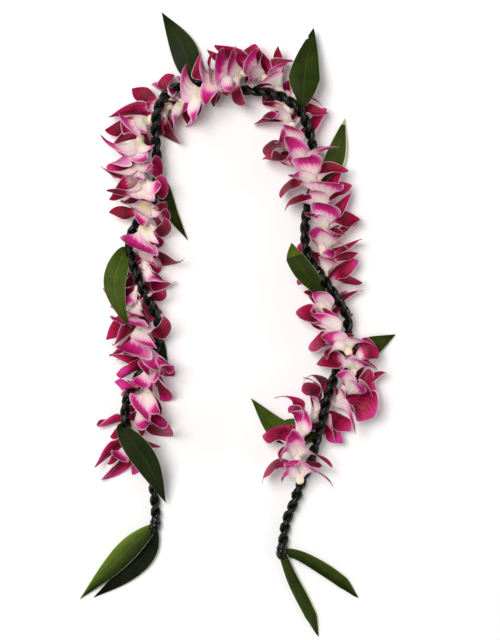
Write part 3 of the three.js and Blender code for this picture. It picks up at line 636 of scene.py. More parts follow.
def ply_tube(ply, start, stop, tongue):
    """Round the helix, a flattened circle that reaches the other ply on its inner side. It is
    smaller at four creases, whose angles drift along the ply, and swells slowly. Past its end a
    thinner tongue runs into the next strip."""
    mark = np.arange(start, stop + (TONGUE if tongue else 0), PLY_STEP)
    centre, out, forward = ply_centre(ply, mark)
    mark = mark[:, None]
    beyond = smoothstep(mark, stop - 0.5, stop + 0.3)
    angle = turns(PLY_AROUND)
    turned = angle + mark / CREASE_RUN
    drift = turned + CREASE_STRAY * np.sin(mark / STRAY_RUN + 2 * ply)
    folds = np.abs(np.sin(2 * drift + 0.5 * np.sin(drift + ply))) ** CREASE_SHARP
    swell = SWELL_SIZE * np.sin(mark / 1.35 + 2 * np.sin(angle + ply)) * np.sin(mark / 5.3)
    size = (LEAST_SIZE + FOLD_SIZE * folds + swell) * (1 - TONGUE_THINNER * beyond)
    outer = np.maximum(-np.cos(angle), 0) * PLY_DEPTH * size
    inner = np.maximum(np.cos(angle), 0) * (PLY_ORBIT - PLY_GAP)
    rings = rings_at(centre, out, np.cross(forward, out), outer - inner,
                     PLY_WIDTH * size * np.sin(angle))
    return *closed_tube(rings), pairs(turned / TURN, mark / 10), PLAIN, rope_material


print("sides of a ply:", PLY_AROUND, "turns of the rope:", rope_end // TWIST_PITCH)

# %% [markdown]
# ## Free leaf tips
#
# Each strip ends in a tip beside the rope: a blade on a curved midrib that widens fast and runs out
# to a point. Its halves rise from the midrib like a shallow roof turned over, and the edges wave a
# little. A flat plane would be quicker, but a sheet of half a millimetre has a real edge.

# %% Blades
LEAF_ROOT_WIDTH, LEAF_FOLD, LEAF_THICKNESS = 5, 0.1, 0.5
LEAF_ROWS, LEAF_COLUMNS, LEAF_SPACING, LEAF_LAST = 56, 19, 1.1, 0.992
LEAF_EDGE = 0.6
LEAF_WAVES, LEAF_WAVE_HEIGHT = 11, 0.035
GROOVE_DEPTH, GROOVE_HALF = 0.35, 0.8
NOTCH_DEPTH, NOTCH_HALF = 0.5, 0.012
LEAF_PARTS = ("ply", "leaves", "width", "petals", "tone", "rib")
LEAVES = {name: dict(zip(LEAF_PARTS, parts), **more) for name, *parts, more in [
    ("inner_right_low", 0, (80, -114), 25, "over", 0.5,
     [[69, -112, 2.4], [57, -110, 1.4], [40, -108, 1.2], [12, -76, 1.4]], {}),
    ("inner_right_high", 0, (87, 22), 24, "under", 0.3,
     [[78, 36, 35], [58, 60, 37], [53, 79, 31]], dict(strap=0.0, taper=0.32, tip=0.3)),
    ("top_right", 0, (62, 208), 31, "under", 0.3,
     [[65, 224, 27], [67, 250, 20], [76, 296, 10]], dict(notch=0.86, kite=0.36)),
    ("inner_left", 0, (-82, 150), 14, "over", 0.32,
     [[-76, 138, 2], [-68, 112, 1.6], [-50, 81, 2.4]], {}),
    ("inner_left_low", 0, (-80, -8), 14, "over", 0.2,
     [[-82, -18, 2.2], [-77, -32, 1.6], [-70, -46, 2]], {}),
    ("outer_right_low", 1, (107, -30), 22, "over", 0.36,
     [[118, -32, 2.4], [136, -24, 2.6], [160, -12, 2]], {}),
    ("outer_right_high", 1, (78, 150), 21, "over", 0.42,
     [[88, 148, 2.6], [98, 165, 3], [108, 207, 2.4]], dict(margins=(0.07, 0.02), pale_from=0.9)),
    ("top_left", 1, (-46, 238), 27, "over", 0.22,
     [[-48, 252, 6], [-56, 277, 2.4], [-78, 314, 2]], {}),
    ("outer_left_high", 1, (-107, 76), 22, "under", 0.5,
     [[-115, 66, 23], [-122, 38, 30], [-114, 8, 33], [-104, -7, 33]], {}),
    ("outer_left_low", 1, (-111, -98), 24, "under", 0.18,
     [[-113, -108, 33], [-90, -139, 32], [-72, -183, 8]], {}),
]}
RIGHT_END = dict(width=13.5, strap=-0.4)
# Painted light on the end leaves: one half of each blade is lighter and the other darker, as the
# lamp falls on its fold.
KNOT_LEAVES = {
    "right": [
        dict(RIGHT_END, rib=[[63, -236, 4], [92, -253, 2], [124, -277, 1.6]], tone=0.36,
             split=0.16),
        dict(RIGHT_END, rib=[[54, -257, 3], [67, -283, 1.8], [84, -317, 1.6]], tone=0.34,
             split=-0.08, margins=(0.007, 0.05))],
    "left": [
        dict(width=21, rib=[[-106, -224, 8], [-130, -249, 5], [-161, -281, 1.8]], tone=0.46,
             split=-0.34),
        dict(width=21, rib=[[-92, -231, 2], [-113, -254, 1.6], [-147, -279, 1.4]], tone=0.0,
             split=0.06)],
}
MARGINS = (0.007, 0.007)
WIDEST, POINTED, BLUNT = 0.74, 1.1, 0.85
STRAP_GROWS, STRAP_TIP = (-0.3, 0.6), 0.24


def leaf_width(leaf, share):
    """The root's width, falling evenly, plus the blade's: a sine whose argument and value are both
    raised to a power. A strap soon has its full width, less its taper, up to a short tip. A kite
    has nearly straight sides, and is widest at one place."""
    outline = np.maximum(np.sin(math.pi * share**WIDEST), 0) ** POINTED
    if "strap" in leaf:
        outline = np.minimum((1 - share) / STRAP_TIP, 1) ** BLUNT
        outline = smoothstep(share, *STRAP_GROWS) * outline
        outline = outline * (1 - leaf.get("taper", 0) * share)
    if "kite" in leaf:
        outline = np.minimum(share / leaf["kite"], (1 - share) / (1 - leaf["kite"]))
        outline = mix(outline**BLUNT, np.sin(outline * math.pi / 2), 0.5)
    return LEAF_ROOT_WIDTH * (1 - share) + (leaf["width"] - LEAF_ROOT_WIDTH / 2) * outline


def leaf_rows(root, leaf, share):
    """The midrib at each share of its length, the level direction across it, and half the width."""
    rib = np.array(leaf["rib"], float) + [*ORIGIN, 0]
    line, _ = resampled(route([tuple(root), *map(tuple, rib)]))
    place = share * (len(line) - 1)
    side = unit(np.cross(UP, pick(directions(line), place)))
    return pick(line, place), side, leaf_width(leaf, share) / 2


def leaf_blade(root, leaf):
    """Across each row the edges rise by a tenth of the width, with a groove at the midrib and a
    wave at the edges. A strap's tip is cut slantwise, and a notch cuts into one side. One half may
    be painted lighter and the other darker, as the light falls on the fold, and the tip may be
    lighter."""
    share = np.linspace(0, 1, LEAF_ROWS) ** LEAF_SPACING * LEAF_LAST
    middle, side, half = leaf_rows(root, leaf, share)
    across = crosswise(LEAF_COLUMNS)
    phase = 2.2 * np.sign(across) + leaf["width"]
    wave = np.sin(share[:, None] * LEAF_WAVES + phase) * across**2
    sideways = half[:, None] * across
    groove = GROOVE_DEPTH * hump(sideways, GROOVE_HALF)
    lift = LEAF_FOLD * 2 * half[:, None] * np.abs(across) ** 1.15
    lift = lift + wave * LEAF_WAVE_HEIGHT * half[:, None] - groove
    if "strap" in leaf:
        oblique = leaf["strap"] * leaf["width"] / 2 * smoothstep(share, 1 - STRAP_TIP, 1)
        sideways = sideways + oblique[:, None]
    if "notch" in leaf:
        cut = 1 - NOTCH_DEPTH * hump(share - leaf["notch"], NOTCH_HALF)
        sideways = np.where(sideways > 0, sideways * cut[:, None], sideways)
    grid = middle[:, None] + side[:, None] * sideways[..., None] + UP * lift[..., None]
    points, faces, uv = closed_sheet(grid, share, -across, LEAF_THICKNESS, LEAF_EDGE)
    marks = [leaf["tone"], *leaf.get("margins", MARGINS), leaf.get("pale_from", 1.0)]
    finish = np.tile(marks, (len(points), 1))
    # Painted light: one half of the blade lighter and the other darker.
    finish[:, 0] += leaf.get("split", 0.0) * np.tile(across, 2 * LEAF_ROWS)
    in_tip = np.repeat(share > 1 - STRAP_TIP, LEAF_COLUMNS)
    finish[:, 0] += leaf.get("tip", 0.0) * np.tile(in_tip, 2)
    return points, faces, uv, finish, leaf_material


print("points on both sides of a blade:", 2 * LEAF_ROWS * LEAF_COLUMNS)

# %% [markdown]
# ## Ten strips in two plies
#
# Each ply is shared out into five strips, one for each leaf tip, which meet halfway between two
# tips. A tip starts where the ply is on the side that its leaf goes off to.

# %% Strips
KNOT_RINGS = np.array([[-8, 3.4], [-6, 5.6], [-2.5, 7.0], [2.5, 7.0], [6.5, 6.0], [8.5, 5.4]])
KNOT_INSIDE = KNOT_RINGS[-1, 0] + STRIP_GAP
RING_STEP = 4.0


def leaf_mark(leaf):
    """Within half a pitch of the wanted mark, the one whose ply is nearest to the leaf's first
    point, plus three tenths of the way from the wanted mark."""
    wanted = nearest_mark(*leaf["leaves"])
    near = np.arange(wanted - TWIST_PITCH // 2, wanted + TWIST_PITCH // 2 + 1)
    goal = np.array(leaf["rib"][0], float) + [*ORIGIN, 0]
    reach = np.linalg.norm(ply_centre(leaf["ply"], near)[0] - goal, axis=1)
    return int(near[np.argmin(reach + 0.3 * np.abs(near - wanted))])


leaf_roots = {}
for ply in (0, 1):
    mine = sorted((leaf_mark(leaf), name) for name, leaf in LEAVES.items() if leaf["ply"] == ply)
    middles = [round((a + b) / 2 / RING_STEP) * RING_STEP
               for (a, _), (b, _) in zip(mine[:-1], mine[1:])]
    starts = [KNOT_INSIDE, *[m + STRIP_GAP / 2 for m in middles]]
    stops = [*[m - STRIP_GAP / 2 for m in middles], rope_end - KNOT_INSIDE]
    for (mark, name), start, stop in zip(mine, starts, stops):
        leaf_roots[name] = ply_centre(ply, np.array(float(mark)))[0]
        add_piece("strip_" + name, "ti_leaf_strip_" + name,
                  [ply_tube(ply, start, stop, stop < rope_end - KNOT_INSIDE),
                   leaf_blade(leaf_roots[name], LEAVES[name])])
print("leaf strips:", len(leaf_roots))

# %% [markdown]
# ## The two end knots
#
# At each end both plies are tied in a knot, out of which the last two leaf ends stick. A curve
# could wind through itself, but a tight knot shows only its outside: a short barrel with slanting
# wraps, flat where it touches the table.

# %% Knots
KNOT_ROWS, KNOT_AROUND = 60, 40
KNOT_TIGHTNESS, KNOT_DROP = 0.78, 0.9
WRAP_RUN, KNOT_CORE, WRAP_HEIGHT, FINE_HEIGHT = 2.1, 0.82, 0.22, 0.012
KNOT_FLOOR = 0.02


def knot_barrel(at_start):
    """A tube whose radius follows the knot's outline, times one less a crease that climbs round
    it like a thread, with nothing lower than the table."""
    distance = np.linspace(KNOT_RINGS[0, 0], KNOT_RINGS[-1, 0], KNOT_ROWS)
    outline = np.interp(distance, *KNOT_RINGS.T) * KNOT_TIGHTNESS
    origin, _, side, _ = frame_at(rope, distance if at_start else rope_end - distance)
    origin[:, 2] = np.maximum(origin[:, 2] - KNOT_DROP, outline)
    angle, distance = turns(KNOT_AROUND), distance[:, None]
    wrap = np.abs(np.sin(distance / WRAP_RUN + angle + 0.5 * np.sin(2 * angle))) ** 0.5
    fine = np.sin(9 * angle + distance) * FINE_HEIGHT
    radius = outline[:, None] * (KNOT_CORE + WRAP_HEIGHT * wrap + fine)
    rings = rings_at(origin, side, UP[None], radius * np.cos(angle), radius * np.sin(angle))
    rings[..., 2] = np.maximum(rings[..., 2], KNOT_FLOOR)
    uv = pairs((angle + distance / 6) / 6, distance / 10)
    return *closed_tube(rings), uv, PLAIN, rope_material


for name, ends in KNOT_LEAVES.items():
    root = frame_at(rope, np.array(0.0 if name == "right" else float(rope_end)))[0]
    add_piece("knot_" + name, "end_knot_" + name,
              [knot_barrel(name == "right"), *[leaf_blade(root, leaf) for leaf in ends]])
print("knots:", len(KNOT_LEAVES))

# %% [markdown]
# ## The cotton thread
#
# The blooms are strung on a twisted cotton thread, tied round the rope at both ends of the strand.
# It runs inside the throats and shows only between blooms, so a tube with three strands pressed
# into its section is enough.

# %% Thread
FIBRES, FIBRE_DEPTH = (14.0, 3.0, 1.0), 0.0001
cotton_recipe = Recipe("cotton", Roughness=0.9, Specular_IOR_Level=0.1)
fibres = cotton_recipe.streaks(FIBRES)
cotton_colour = cotton_recipe.ramp(fibres, [(0.3, 0x0A1008), (0.7, 0x182214)])
cotton = cotton_recipe.finish(cotton_colour, None, fibres, FIBRE_DEPTH)

LOOP_RADIUS, LOOP_PITCH, LOOP_TURNS, LOOP_STEPS = 5.7, 2.4, 1.25, 40
THREAD_AROUND, THREAD_RADIUS, THREAD_TWIST = 12, 0.5, 1.1


def loop_points(at_start):
    """A helix round the rope, from the direction in which the strand lies."""
    end, away = (0, -1) if at_start else (strand_end, 1)
    start = strand_marks[end]
    origin, _, side, up = frame_at(rope, np.array(start))
    out = strand[0][end] - origin
    first = math.atan2(out @ up, out @ side)
    k = np.arange(1, int(LOOP_TURNS * LOOP_STEPS) + 1)
    mark = start + away * (LOOP_DISTANCE + LOOP_PITCH * (k / LOOP_STEPS - LOOP_TURNS / 2))
    origin, _, side, up = frame_at(rope, mark)
    angle = (first + TURN * k / LOOP_STEPS)[:, None]
    return origin + (side * np.cos(angle) + up * np.sin(angle)) * LOOP_RADIUS


def thread_tube():
    """Round the path, the radius times one less a crease at three angles that turn along it."""
    path, _ = resampled(np.vstack([loop_points(True)[::-1], strand[0][::2], loop_points(False)]))
    forward = directions(path)
    side = unit(np.cross(forward, [0.3, 0.2, 0.93]))
    up = np.cross(forward, side)
    angle = turns(THREAD_AROUND)
    place = np.arange(len(path))[:, None]
    turned = angle - place * THREAD_TWIST
    radius = THREAD_RADIUS * (0.75 + 0.25 * np.abs(np.sin(1.5 * turned)) ** 0.5)
    rings = rings_at(path, side, up, radius * np.cos(angle), radius * np.sin(angle))
    return *closed_tube(rings), pairs(turned, place / 4), PLAIN, cotton


thread = thread_tube()
add_piece("cotton_thread", "lei_thread", [thread])
print("thread in millimetres:", len(thread[0]) // THREAD_AROUND)

# %% [markdown]
# ## The colours of a bloom
#
# A dendrobium's petals are cream at the root, a little green on the back, and turn through pale
# pink to a deep magenta. The face is darker than the back and the lip is the darkest: partly their
# own colour, and partly painted shade, for the deep crimson in the middle of each face stands for
# the shade where each bloom sits in the cup of the one before. Every petal has fine veins and a
# thin pale rim. Two numbers say where a point is on its petal, and four more its kind, its depth of
# colour, and whether it is on the back or in the throat.

# %% Petal finish
PETAL_VEINS, VEIN_WANDER = 52.0, 2.5
# Painted shade: the darkest crimson stops of the sepal, petal and lip ramps stand partly for the
# shade between petals.
PETAL_COLOURS = {
    "sepal": [(0.0, 0xF8E4DC), (0.16, 0xF0BCC8), (0.27, 0x9A0C3C), (0.45, 0x560014),
              (0.8, 0x8C042C), (1.0, 0xBA2068)],
    "petal": [(0.0, 0xFAE8E0), (0.2, 0xF6CCD8), (0.34, 0xB81460), (0.52, 0x68001C),
              (0.8, 0xA00642), (1.0, 0xCC308A)],
    "lip": [(0.0, 0xE8BCC0), (0.12, 0x840830), (0.45, 0x5A011A), (0.85, 0x700428),
            (1.0, 0xA42860)],
    "back": [(0.0, 0xE6DEAE), (0.1, 0xFFF0E2), (0.36, 0xFFE2E0), (0.49, 0xFAB8CE),
             (0.6, 0xD22C92), (0.8, 0xB40E68), (1.0, 0x90083C)],
    "throat": [(0.0, 0xA98A5E), (0.05, 0xC9C08C), (0.16, 0xF0E2C8), (0.4, 0xFCE4DC),
               (1.0, 0xF8D6D8)],
}
# The paler sides of the backs are partly their pale margin and partly a painted highlight where the
# edge curls over.
PALE_MARGIN_AND_HIGHLIGHT, PALE_RIM, DARK_VEIN, SPECKLED = 0xF6B8DA, 0xF4D3E2, 0x7A0C48, 0xC9B98A


def petal_finish():
    """A ramp for each kind of face, one for the back with paler sides, partly a pale margin and
    partly a painted highlight where the edge curls over, and one for the throat. Both sides of a
    petal have its veins and a pale rim."""
    recipe = Recipe("orchid_petal", Roughness=0.5, Specular_IOR_Level=0.18, Subsurface_Weight=0.3,
                    Subsurface_Scale=0.002, Subsurface_Radius=(1.0, 0.55, 0.6))
    _, across, share = recipe.blade()
    kind, depth, on_back, in_throat = recipe.attribute()
    speckle = recipe.noise(recipe.place(), 260.0, 3.0)
    edge = (across - 0.5).math("ABSOLUTE") * 2.0
    vein = (across * PETAL_VEINS + speckle * VEIN_WANDER).math("SINE")
    shifted = share + (depth - 0.5) * 0.5 + vein * 0.018
    sepal, petal, lip, back = (recipe.ramp(shifted, PETAL_COLOURS[name])
                               for name in ("sepal", "petal", "lip", "back"))
    face = recipe.blend(kind.math("COMPARE", 0.5, 0.2), sepal, petal)
    face = recipe.blend(kind > 0.75, face, lip)
    # Paler sides on the back: pale margin and painted highlight.
    back = recipe.blend(edge.math("SUBTRACT", 0.5, clamp=True) * 1.3, back, PALE_MARGIN_AND_HIGHLIGHT)
    both = recipe.blend(on_back, face, back)
    both = recipe.blend((edge + share * 0.07 > 0.985) * 0.72, both, PALE_RIM)
    both = recipe.blend(vein.math("MULTIPLY", share, clamp=True) * 0.16, both, DARK_VEIN)
    throat = recipe.blend(speckle * 0.15, recipe.ramp(share, PETAL_COLOURS["throat"]), SPECKLED)
    colour = recipe.blend(in_throat, both, throat)
    return recipe.finish(colour, speckle * 0.25 + 0.36, vein, VEIN_DEPTH)


petal_material = petal_finish()
print("nodes of a petal:", len(petal_material.node_tree.nodes))

# %% [markdown]
# ## Where a petal lies
#
# A bloom is strung through its throat, so everything in it is best said in steps along the thread
# and round it, counted from the rope's side, where it is pressed against the rope and no petal
# grows. Three rules then bend a point clear: away from the rope's middle, over or under a leaf, and
# up from the table. Cloth physics could press the petals too, but would never give the solids'
# shapes again.

# %% Steps along and round the thread
TEPAL_ROOT, TEPAL_WRAP = 4.6, 0.9
ROPE_ROOM, TEPAL_ROOM = math.radians(42), math.radians(28)
SIDE_TILT, TOP_LEAN, NOD = 1.0, 0.3, 0.12
TOP_SHORTER, TOP_NARROWER = 0.16, 0.34
ROPE_CLEARANCE, ROPE_FALLOFF, ROPE_REACH = 7.2, 3, 45
SURFACE_GAP, SURFACE_SOFTNESS = 0.95, 3.0
LEAF_GAP, LEAF_FADE, LEAF_BARE = 1.9, 7, 0.26


def rope_directions():
    """For each step of the strand, the angle round the thread at which the rope lies."""
    origin, _, side, up = frame_at(strand, np.arange(strand_end + 1))
    to_rope = pick(rope_points, strand_marks) - origin
    return np.unwrap(np.arctan2((to_rope * up).sum(1), (to_rope * side).sum(1)))


rope_angle = rope_directions()


def beside_thread(place, radius, away):
    """A point at a distance from the thread, in a direction counted from the rope's."""
    origin, _, side, up = frame_at(strand, place)
    azimuth = (pick(rope_angle, place) + away)[..., None]
    return origin + (side * np.cos(azimuth) + up * np.sin(azimuth)) * radius[..., None]


def clear_of_rope(points, mark):
    """The distance to the rope becomes the cube root of its cube plus the clearance's cube."""
    near = np.rint(mark).astype(int)[:, None] + np.arange(-ROPE_REACH, ROPE_REACH + 1)
    near = np.clip(near, 0, rope_end)
    squares = ((points[:, None] - rope_points[near]) ** 2).sum(axis=2)
    best = squares.argmin(axis=1)
    nearest = rope_points[near[np.arange(len(points)), best]]
    distance = np.maximum(np.sqrt(squares.min(axis=1)), 1e-3)
    pushed = (distance**ROPE_FALLOFF + ROPE_CLEARANCE**ROPE_FALLOFF) ** (1 / ROPE_FALLOFF)
    return nearest + (points - nearest) * (pushed / distance)[:, None]


leaf_beds = []
for name, leaf in LEAVES.items():
    middle, _, half = leaf_rows(leaf_roots[name], leaf, np.linspace(LEAF_BARE, 1, 61))
    leaf_beds.append((leaf["petals"], middle, half))


def soft_floor(height, floor):
    """The floor plus softness times the logarithm of one plus e to the height above it."""
    return floor + SURFACE_SOFTNESS * np.logaddexp(0, (height - floor) / SURFACE_SOFTNESS)


def clear_of_leaves(points):
    """Raises points over the leaves under the flowers, lowers them under those on top, and keeps
    all above the table."""
    floor = np.full(len(points), SURFACE_GAP)
    ceiling = np.full(len(points), 1e3)
    for petals, middle, half in leaf_beds:
        distance = np.hypot(*(points[:, None, :2] - middle[:, :2]).transpose(2, 0, 1))
        best = distance.argmin(axis=1)
        wide = half[best]
        share = 1 - smoothstep(distance.min(axis=1), wide, wide + LEAF_FADE)
        height = middle[best, 2]
        if petals == "over":
            bed = height + 2 * wide * LEAF_FOLD + LEAF_GAP
            floor = np.maximum(floor, np.where(share > 0, mix(SURFACE_GAP, bed, share), 0))
        else:
            bed = height - LEAF_GAP
            ceiling = np.minimum(ceiling, np.where(share > 0, mix(2 * bed, bed, share), 1e3))
    points = points.copy()
    lowered = 2 * ceiling - soft_floor(2 * ceiling - points[:, 2], ceiling)
    points[:, 2] = soft_floor(np.where(ceiling < 999, lowered, points[:, 2]), floor)
    return points


print("turns of the strand round the rope:", round(float(np.ptp(rope_angle)) / TURN, 1))

# %% [markdown]
# ## One bloom
#
# Three sepals make the outer ring, two broader petals and the lip the inner one. Each bends out in
# an arc, with a shallow groove along its middle, edges that ripple and a tip that curls back. The
# throat is turned on the thread like a small vase, with the hump of the spur at its back and the
# column standing in it. Sculpting one bloom and copying it would be simpler, but the copies would
# show.

# %% Tepals
FORM_PARTS = ("length", "width", "base", "bulge", "root", "opening", "kind", "layer", "ripple",
              "limp")
FORMS = {name: dict(zip(FORM_PARTS, parts)) for name, *parts in [
    ("sepal", 39, 22, 0.14, 0.9, -1, (34, 116), 0.0, 0.4, 0.07, 1.3),
    ("petal", 39.5, 34, 0.12, 1.4, 0.8, (26, 98), 0.5, 0.0, 0.08, 1.0),
    ("lip", 24, 16, 0.12, 0.95, 2.2, (12, 72), 1.0, -0.5, 0.14, 0.6),
]}
TEPALS = [("sepal", 90), ("petal", 150), ("sepal", 215), ("lip", 270), ("sepal", 325),
          ("petal", 390)]
TEPAL_ROWS, TEPAL_COLUMNS = 19, 11
TEPAL_SPACING, TEPAL_LAST = 0.9, 0.985
PETAL_THICKNESS, PETAL_EDGE = 0.55, 0.7
PETAL_GROOVE, PETAL_GROOVE_HALF = 0.5, 0.9
RIPPLES, RIPPLE_SHIFT = 13, 1.7
BLOOMS, BLOOM_MARGIN = 44, 9
# Between which limits a bloom's opening varies, and each number of a tepal, angles in degrees.
OPENED = (-14, 22)
VARIED = {"azimuth": (-5, 5), "start": (-4, 4), "end": (-12, 14), "length": (0.9, 1.06),
          "width": (0.88, 1.06), "cup": (-0.08, 0.26), "twist": (-30, 30), "phase": (0, TURN),
          "depth": (0.22, 0.74), "bow": (-11, 11)}
# Blooms that have settled further round the thread, by so many steps of these degrees.
SETTLED, SETTLING = {2: 3, 7: 2, 21: 1, 26: 2, 27: 1, 42: 1, 44: 3}, 45
# By what factors a bloom's petals that point into the arch, and those that point out of it, are
# longer. They are tucked in beside a leaf, and reach further where there is room.
REACH = {1: (1.15, 1.0), 2: (1.15, 1.0), 3: (1.15, 1.0), 4: (1.1, 0.9), 6: (1.1, 0.85),
         7: (1.1, 0.6), 8: (1.1, 0.55), 9: (1.15, 1.0), 10: (1.15, 1.0), 11: (1.15, 1.0),
         20: (1.0, 0.9), 21: (1.05, 0.8), 22: (1.0, 0.75), 23: (1.0, 0.8), 24: (1.0, 0.8),
         25: (1.0, 0.85), 26: (1.0, 0.85), 27: (1.0, 0.8), 28: (1.0, 0.85), 29: (0.7, 1.05),
         30: (0.5, 1.05), 31: (0.45, 1.05), 32: (0.5, 1.0), 33: (0.7, 1.0), 41: (1.2, 0.6),
         42: (1.2, 0.3), 43: (1.15, 0.2), 44: (1.1, 0.2)}
# The oldest blooms, at the right end, curl right back: by so many degrees, and less by this
# factor for each bloom after the first.
CURL_BACK, CURL_LESS = 70, 0.45
# The blooms come from several stalks: deep ones at both ends, and a few pale ones past the arch.
COLOUR_DRIFT = [0, 3, 6, 27, 29, 32, 35], [0.28, 0.22, 0, 0, -0.14, -0.14, 0.34]


def tepals(bloom):
    """The six tepals of a bloom, each with its own numbers, in order round the thread."""
    roll = TURN * draw(bloom, 1) + math.radians(SETTLED.get(bloom + 1, 0) * SETTLING)
    nod = between(-NOD, NOD, bloom, 3), between(-NOD, NOD, bloom, 4)
    opened = between(*OPENED, bloom, 5) + CURL_BACK * CURL_LESS**bloom
    drift = float(np.interp(bloom, *COLOUR_DRIFT))
    made = []
    for k, (name, azimuth) in enumerate(TEPALS):
        form = FORMS[name]
        tepal = {key: between(*limits, bloom, 10 * (k + 1) + n)
                 for n, (key, limits) in enumerate(VARIED.items())}
        nominal = roll + math.radians(azimuth + tepal["azimuth"])
        nominal = math.atan2(math.sin(nominal), math.cos(nominal))
        tepal |= dict(
            form=form, nod=nod, reach=REACH.get(bloom + 1, (1.0, 1.0)),
            away=math.copysign(mix(ROPE_ROOM, math.pi, abs(nominal) / math.pi), nominal),
            start=math.radians(form["opening"][0] + tepal["start"]),
            end=math.radians(form["opening"][1] + opened + tepal["end"]),
            length=form["length"] * tepal["length"],
            width=form["width"] * tepal["width"],
            twist=math.radians(tepal["twist"]) * form["limp"],
            bow=math.radians(tepal["bow"]),
            depth=tepal["depth"] + drift)
        made.append(tepal)
    made.sort(key=lambda tepal: tepal["away"])
    away = np.array([tepal["away"] for tepal in made])
    gap = (np.roll(away, -1) - away) % TURN
    room = np.minimum(gap, np.roll(gap, 1)) / TEPAL_ROOM
    for tepal, share in zip(made, room):
        tepal["width"] *= min(1, share)
    return made


def leaning(azimuth):
    """How far a bloom leans forwards for each step out: most at its top, and at its sides a
    little back above and forth below."""
    rise, aside = np.sin(azimuth), np.cos(azimuth)
    return TOP_LEAN * np.maximum(rise, 0) ** 2 - SIDE_TILT * rise * aside**2


def tepal_grid(bloom_place, tepal, share, across):
    """The midrib's angle to the thread goes evenly from start to end, so it is an arc. Across it
    the width is laid round the thread, turned by the twist and curled by the cup, the ripple and
    the groove. Tepals on top are smaller, and those at the sides have their bloom's reach."""
    form, start, end = tepal["form"], tepal["start"], tepal["end"]
    share, across = share[:, None], across[None, :]
    angle = mix(start, end, share)
    facing = pick(rope_angle, np.array(bloom_place)) + tepal["away"]
    on_top = max(math.sin(facing), 0) ** 2
    inside, outside = tepal["reach"]
    beside = (inside if math.cos(facing) > 0 else outside) - 1
    length = tepal["length"] * (1 - TOP_SHORTER * on_top) * (1 + beside * math.cos(facing) ** 2)
    reach = TEPAL_ROOT + length * (math.cos(start) - np.cos(angle)) / (end - start)
    rise = length * (np.sin(angle) - math.sin(start)) / (end - start)
    outline = np.sin(math.pi * (form["base"] + (1 - form["base"]) * share) ** form["bulge"])
    half = tepal["width"] / 2 * np.maximum(outline, 0) ** 0.9 * (1 - TOP_NARROWER * on_top)
    half = np.minimum(half, reach * TEPAL_WRAP)
    ripple = form["ripple"] * np.sin(
        share * RIPPLES + np.sign(across) * RIPPLE_SHIFT + tepal["phase"])
    curl = (tepal["cup"] + ripple * smoothstep(share, 0.2, 0.6)) * half * across**2
    groove = hump(across * half, PETAL_GROOVE_HALF) * np.sin(math.pi * share)
    curl = curl - PETAL_GROOVE * groove
    turn = tepal["twist"] * share**2
    sideways = half * across * np.cos(turn) - curl * np.sin(turn)
    inwards = half * across * np.sin(turn) + curl * np.cos(turn)
    layer = form["layer"] * (1 - smoothstep(share, 0.1, 0.5))
    radius = reach + layer - inwards * np.cos(angle)
    ahead = form["root"] + rise + inwards * np.sin(angle)
    away = tepal["away"] + tepal["bow"] * share**2 + sideways / np.maximum(radius, TEPAL_ROOT)
    azimuth = pick(rope_angle, bloom_place + ahead) + away
    nod = tepal["nod"][0] * np.cos(azimuth) + tepal["nod"][1] * np.sin(azimuth)
    place = bloom_place + ahead + radius * (leaning(azimuth) + nod)
    points = beside_thread(place, radius, away).reshape(-1, 3)
    points = clear_of_leaves(clear_of_rope(points, pick(strand_marks, place).ravel()))
    return points.reshape(*place.shape, 3)


def tepal_sheet(bloom_place, tepal):
    """A closed sheet on the tepal's grid, thickest along its middle."""
    share = np.linspace(0, 1, TEPAL_ROWS) ** TEPAL_SPACING * TEPAL_LAST
    across = crosswise(TEPAL_COLUMNS)
    grid = tepal_grid(bloom_place, tepal, share, across)
    points, faces, uv = closed_sheet(grid, share, across, PETAL_THICKNESS, PETAL_EDGE)
    finish = np.tile([tepal["form"]["kind"], tepal["depth"], 0.0, 0.0], (len(points), 1))
    finish[len(points) // 2:, 2] = 1.0
    return points, faces, uv, finish, petal_material


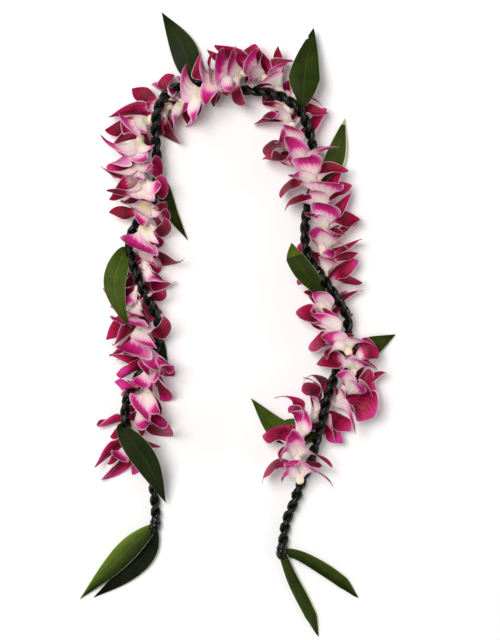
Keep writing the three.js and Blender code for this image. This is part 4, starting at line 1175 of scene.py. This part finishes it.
# Distance along the thread, radius and share of the colour ramp, round the throat's wall: out
# along the spur, over the rim, down inside the cup, up the column and back through the bore.
THROAT = np.array([
    [-9.0, 0.9, 0.0], [-9.0, 1.8, 0.02], [-8.4, 2.7, 0.06], [-7.0, 3.4, 0.14], [-5.0, 3.7, 0.24],
    [-3.0, 4.0, 0.36], [-1.0, 4.6, 0.5], [1.0, 5.2, 0.7], [2.6, 5.5, 1.0], [2.4, 4.9, 1.0],
    [0.6, 4.2, 0.8], [-1.5, 3.3, 0.6], [-2.0, 2.4, 0.6], [0.5, 2.2, 0.8], [4.2, 2.3, 1.0],
    [5.6, 2.5, 1.0], [6.4, 2.2, 0.9], [6.6, 1.3, 0.8], [6.0, 0.9, 0.4], [-8.0, 0.9, 0.1],
])
THROAT_AROUND, THROAT_DEPTH = 20, 0.5
SPUR, SPUR_AT, SPUR_HALF = 0.22, -5.5, 2.6


def throat(bloom_place, mine):
    """The profile turned round the thread. On the lip's side the back half swells by the spur."""
    lip = next(tepal["away"] for tepal in mine if tepal["form"]["kind"] == 1.0)
    distance, radius, share = (THROAT[:, n][:, None] for n in range(3))
    away = turns(THROAT_AROUND)
    swell = hump(distance - SPUR_AT, SPUR_HALF) * np.maximum(np.cos(away - lip), 0)
    radius = np.where(radius > 2.5, radius * (1 + SPUR * swell), radius)
    rings = beside_thread(*np.broadcast_arrays(bloom_place + distance, radius, away))
    points, faces = outward(rings.reshape(-1, 3), cells(*rings.shape[:2], True, True))
    return points, faces, pairs(away / 6.3, share), [0.0, THROAT_DEPTH, 1.0, 1.0], petal_material


print("tepals of the first bloom:", [round(tepal["length"], 1) for tepal in tepals(0)])

# %% [markdown]
# ## Forty-four blooms in a row
#
# The blooms are spaced evenly along the thread, give or take a millimetre, all facing the same
# way, so that each sits in the cup of the one before it.

# %% The strand
UNEVEN = 1.2
spacing = (strand_end - 2 * BLOOM_MARGIN) / (BLOOMS - 1)
for bloom in range(BLOOMS):
    bloom_place = BLOOM_MARGIN + bloom * spacing + between(-UNEVEN, UNEVEN, bloom, 2)
    mine = tepals(bloom)
    sheets = [tepal_sheet(bloom_place, tepal) for tepal in mine]
    add_piece(f"orchid_{bloom + 1:02d}", f"orchid_bloom_{bloom + 1:02d}",
              [throat(bloom_place, mine), *sheets])
print("blooms:", BLOOMS, "faces in the last:", sum(len(part[1]) for part in sheets))
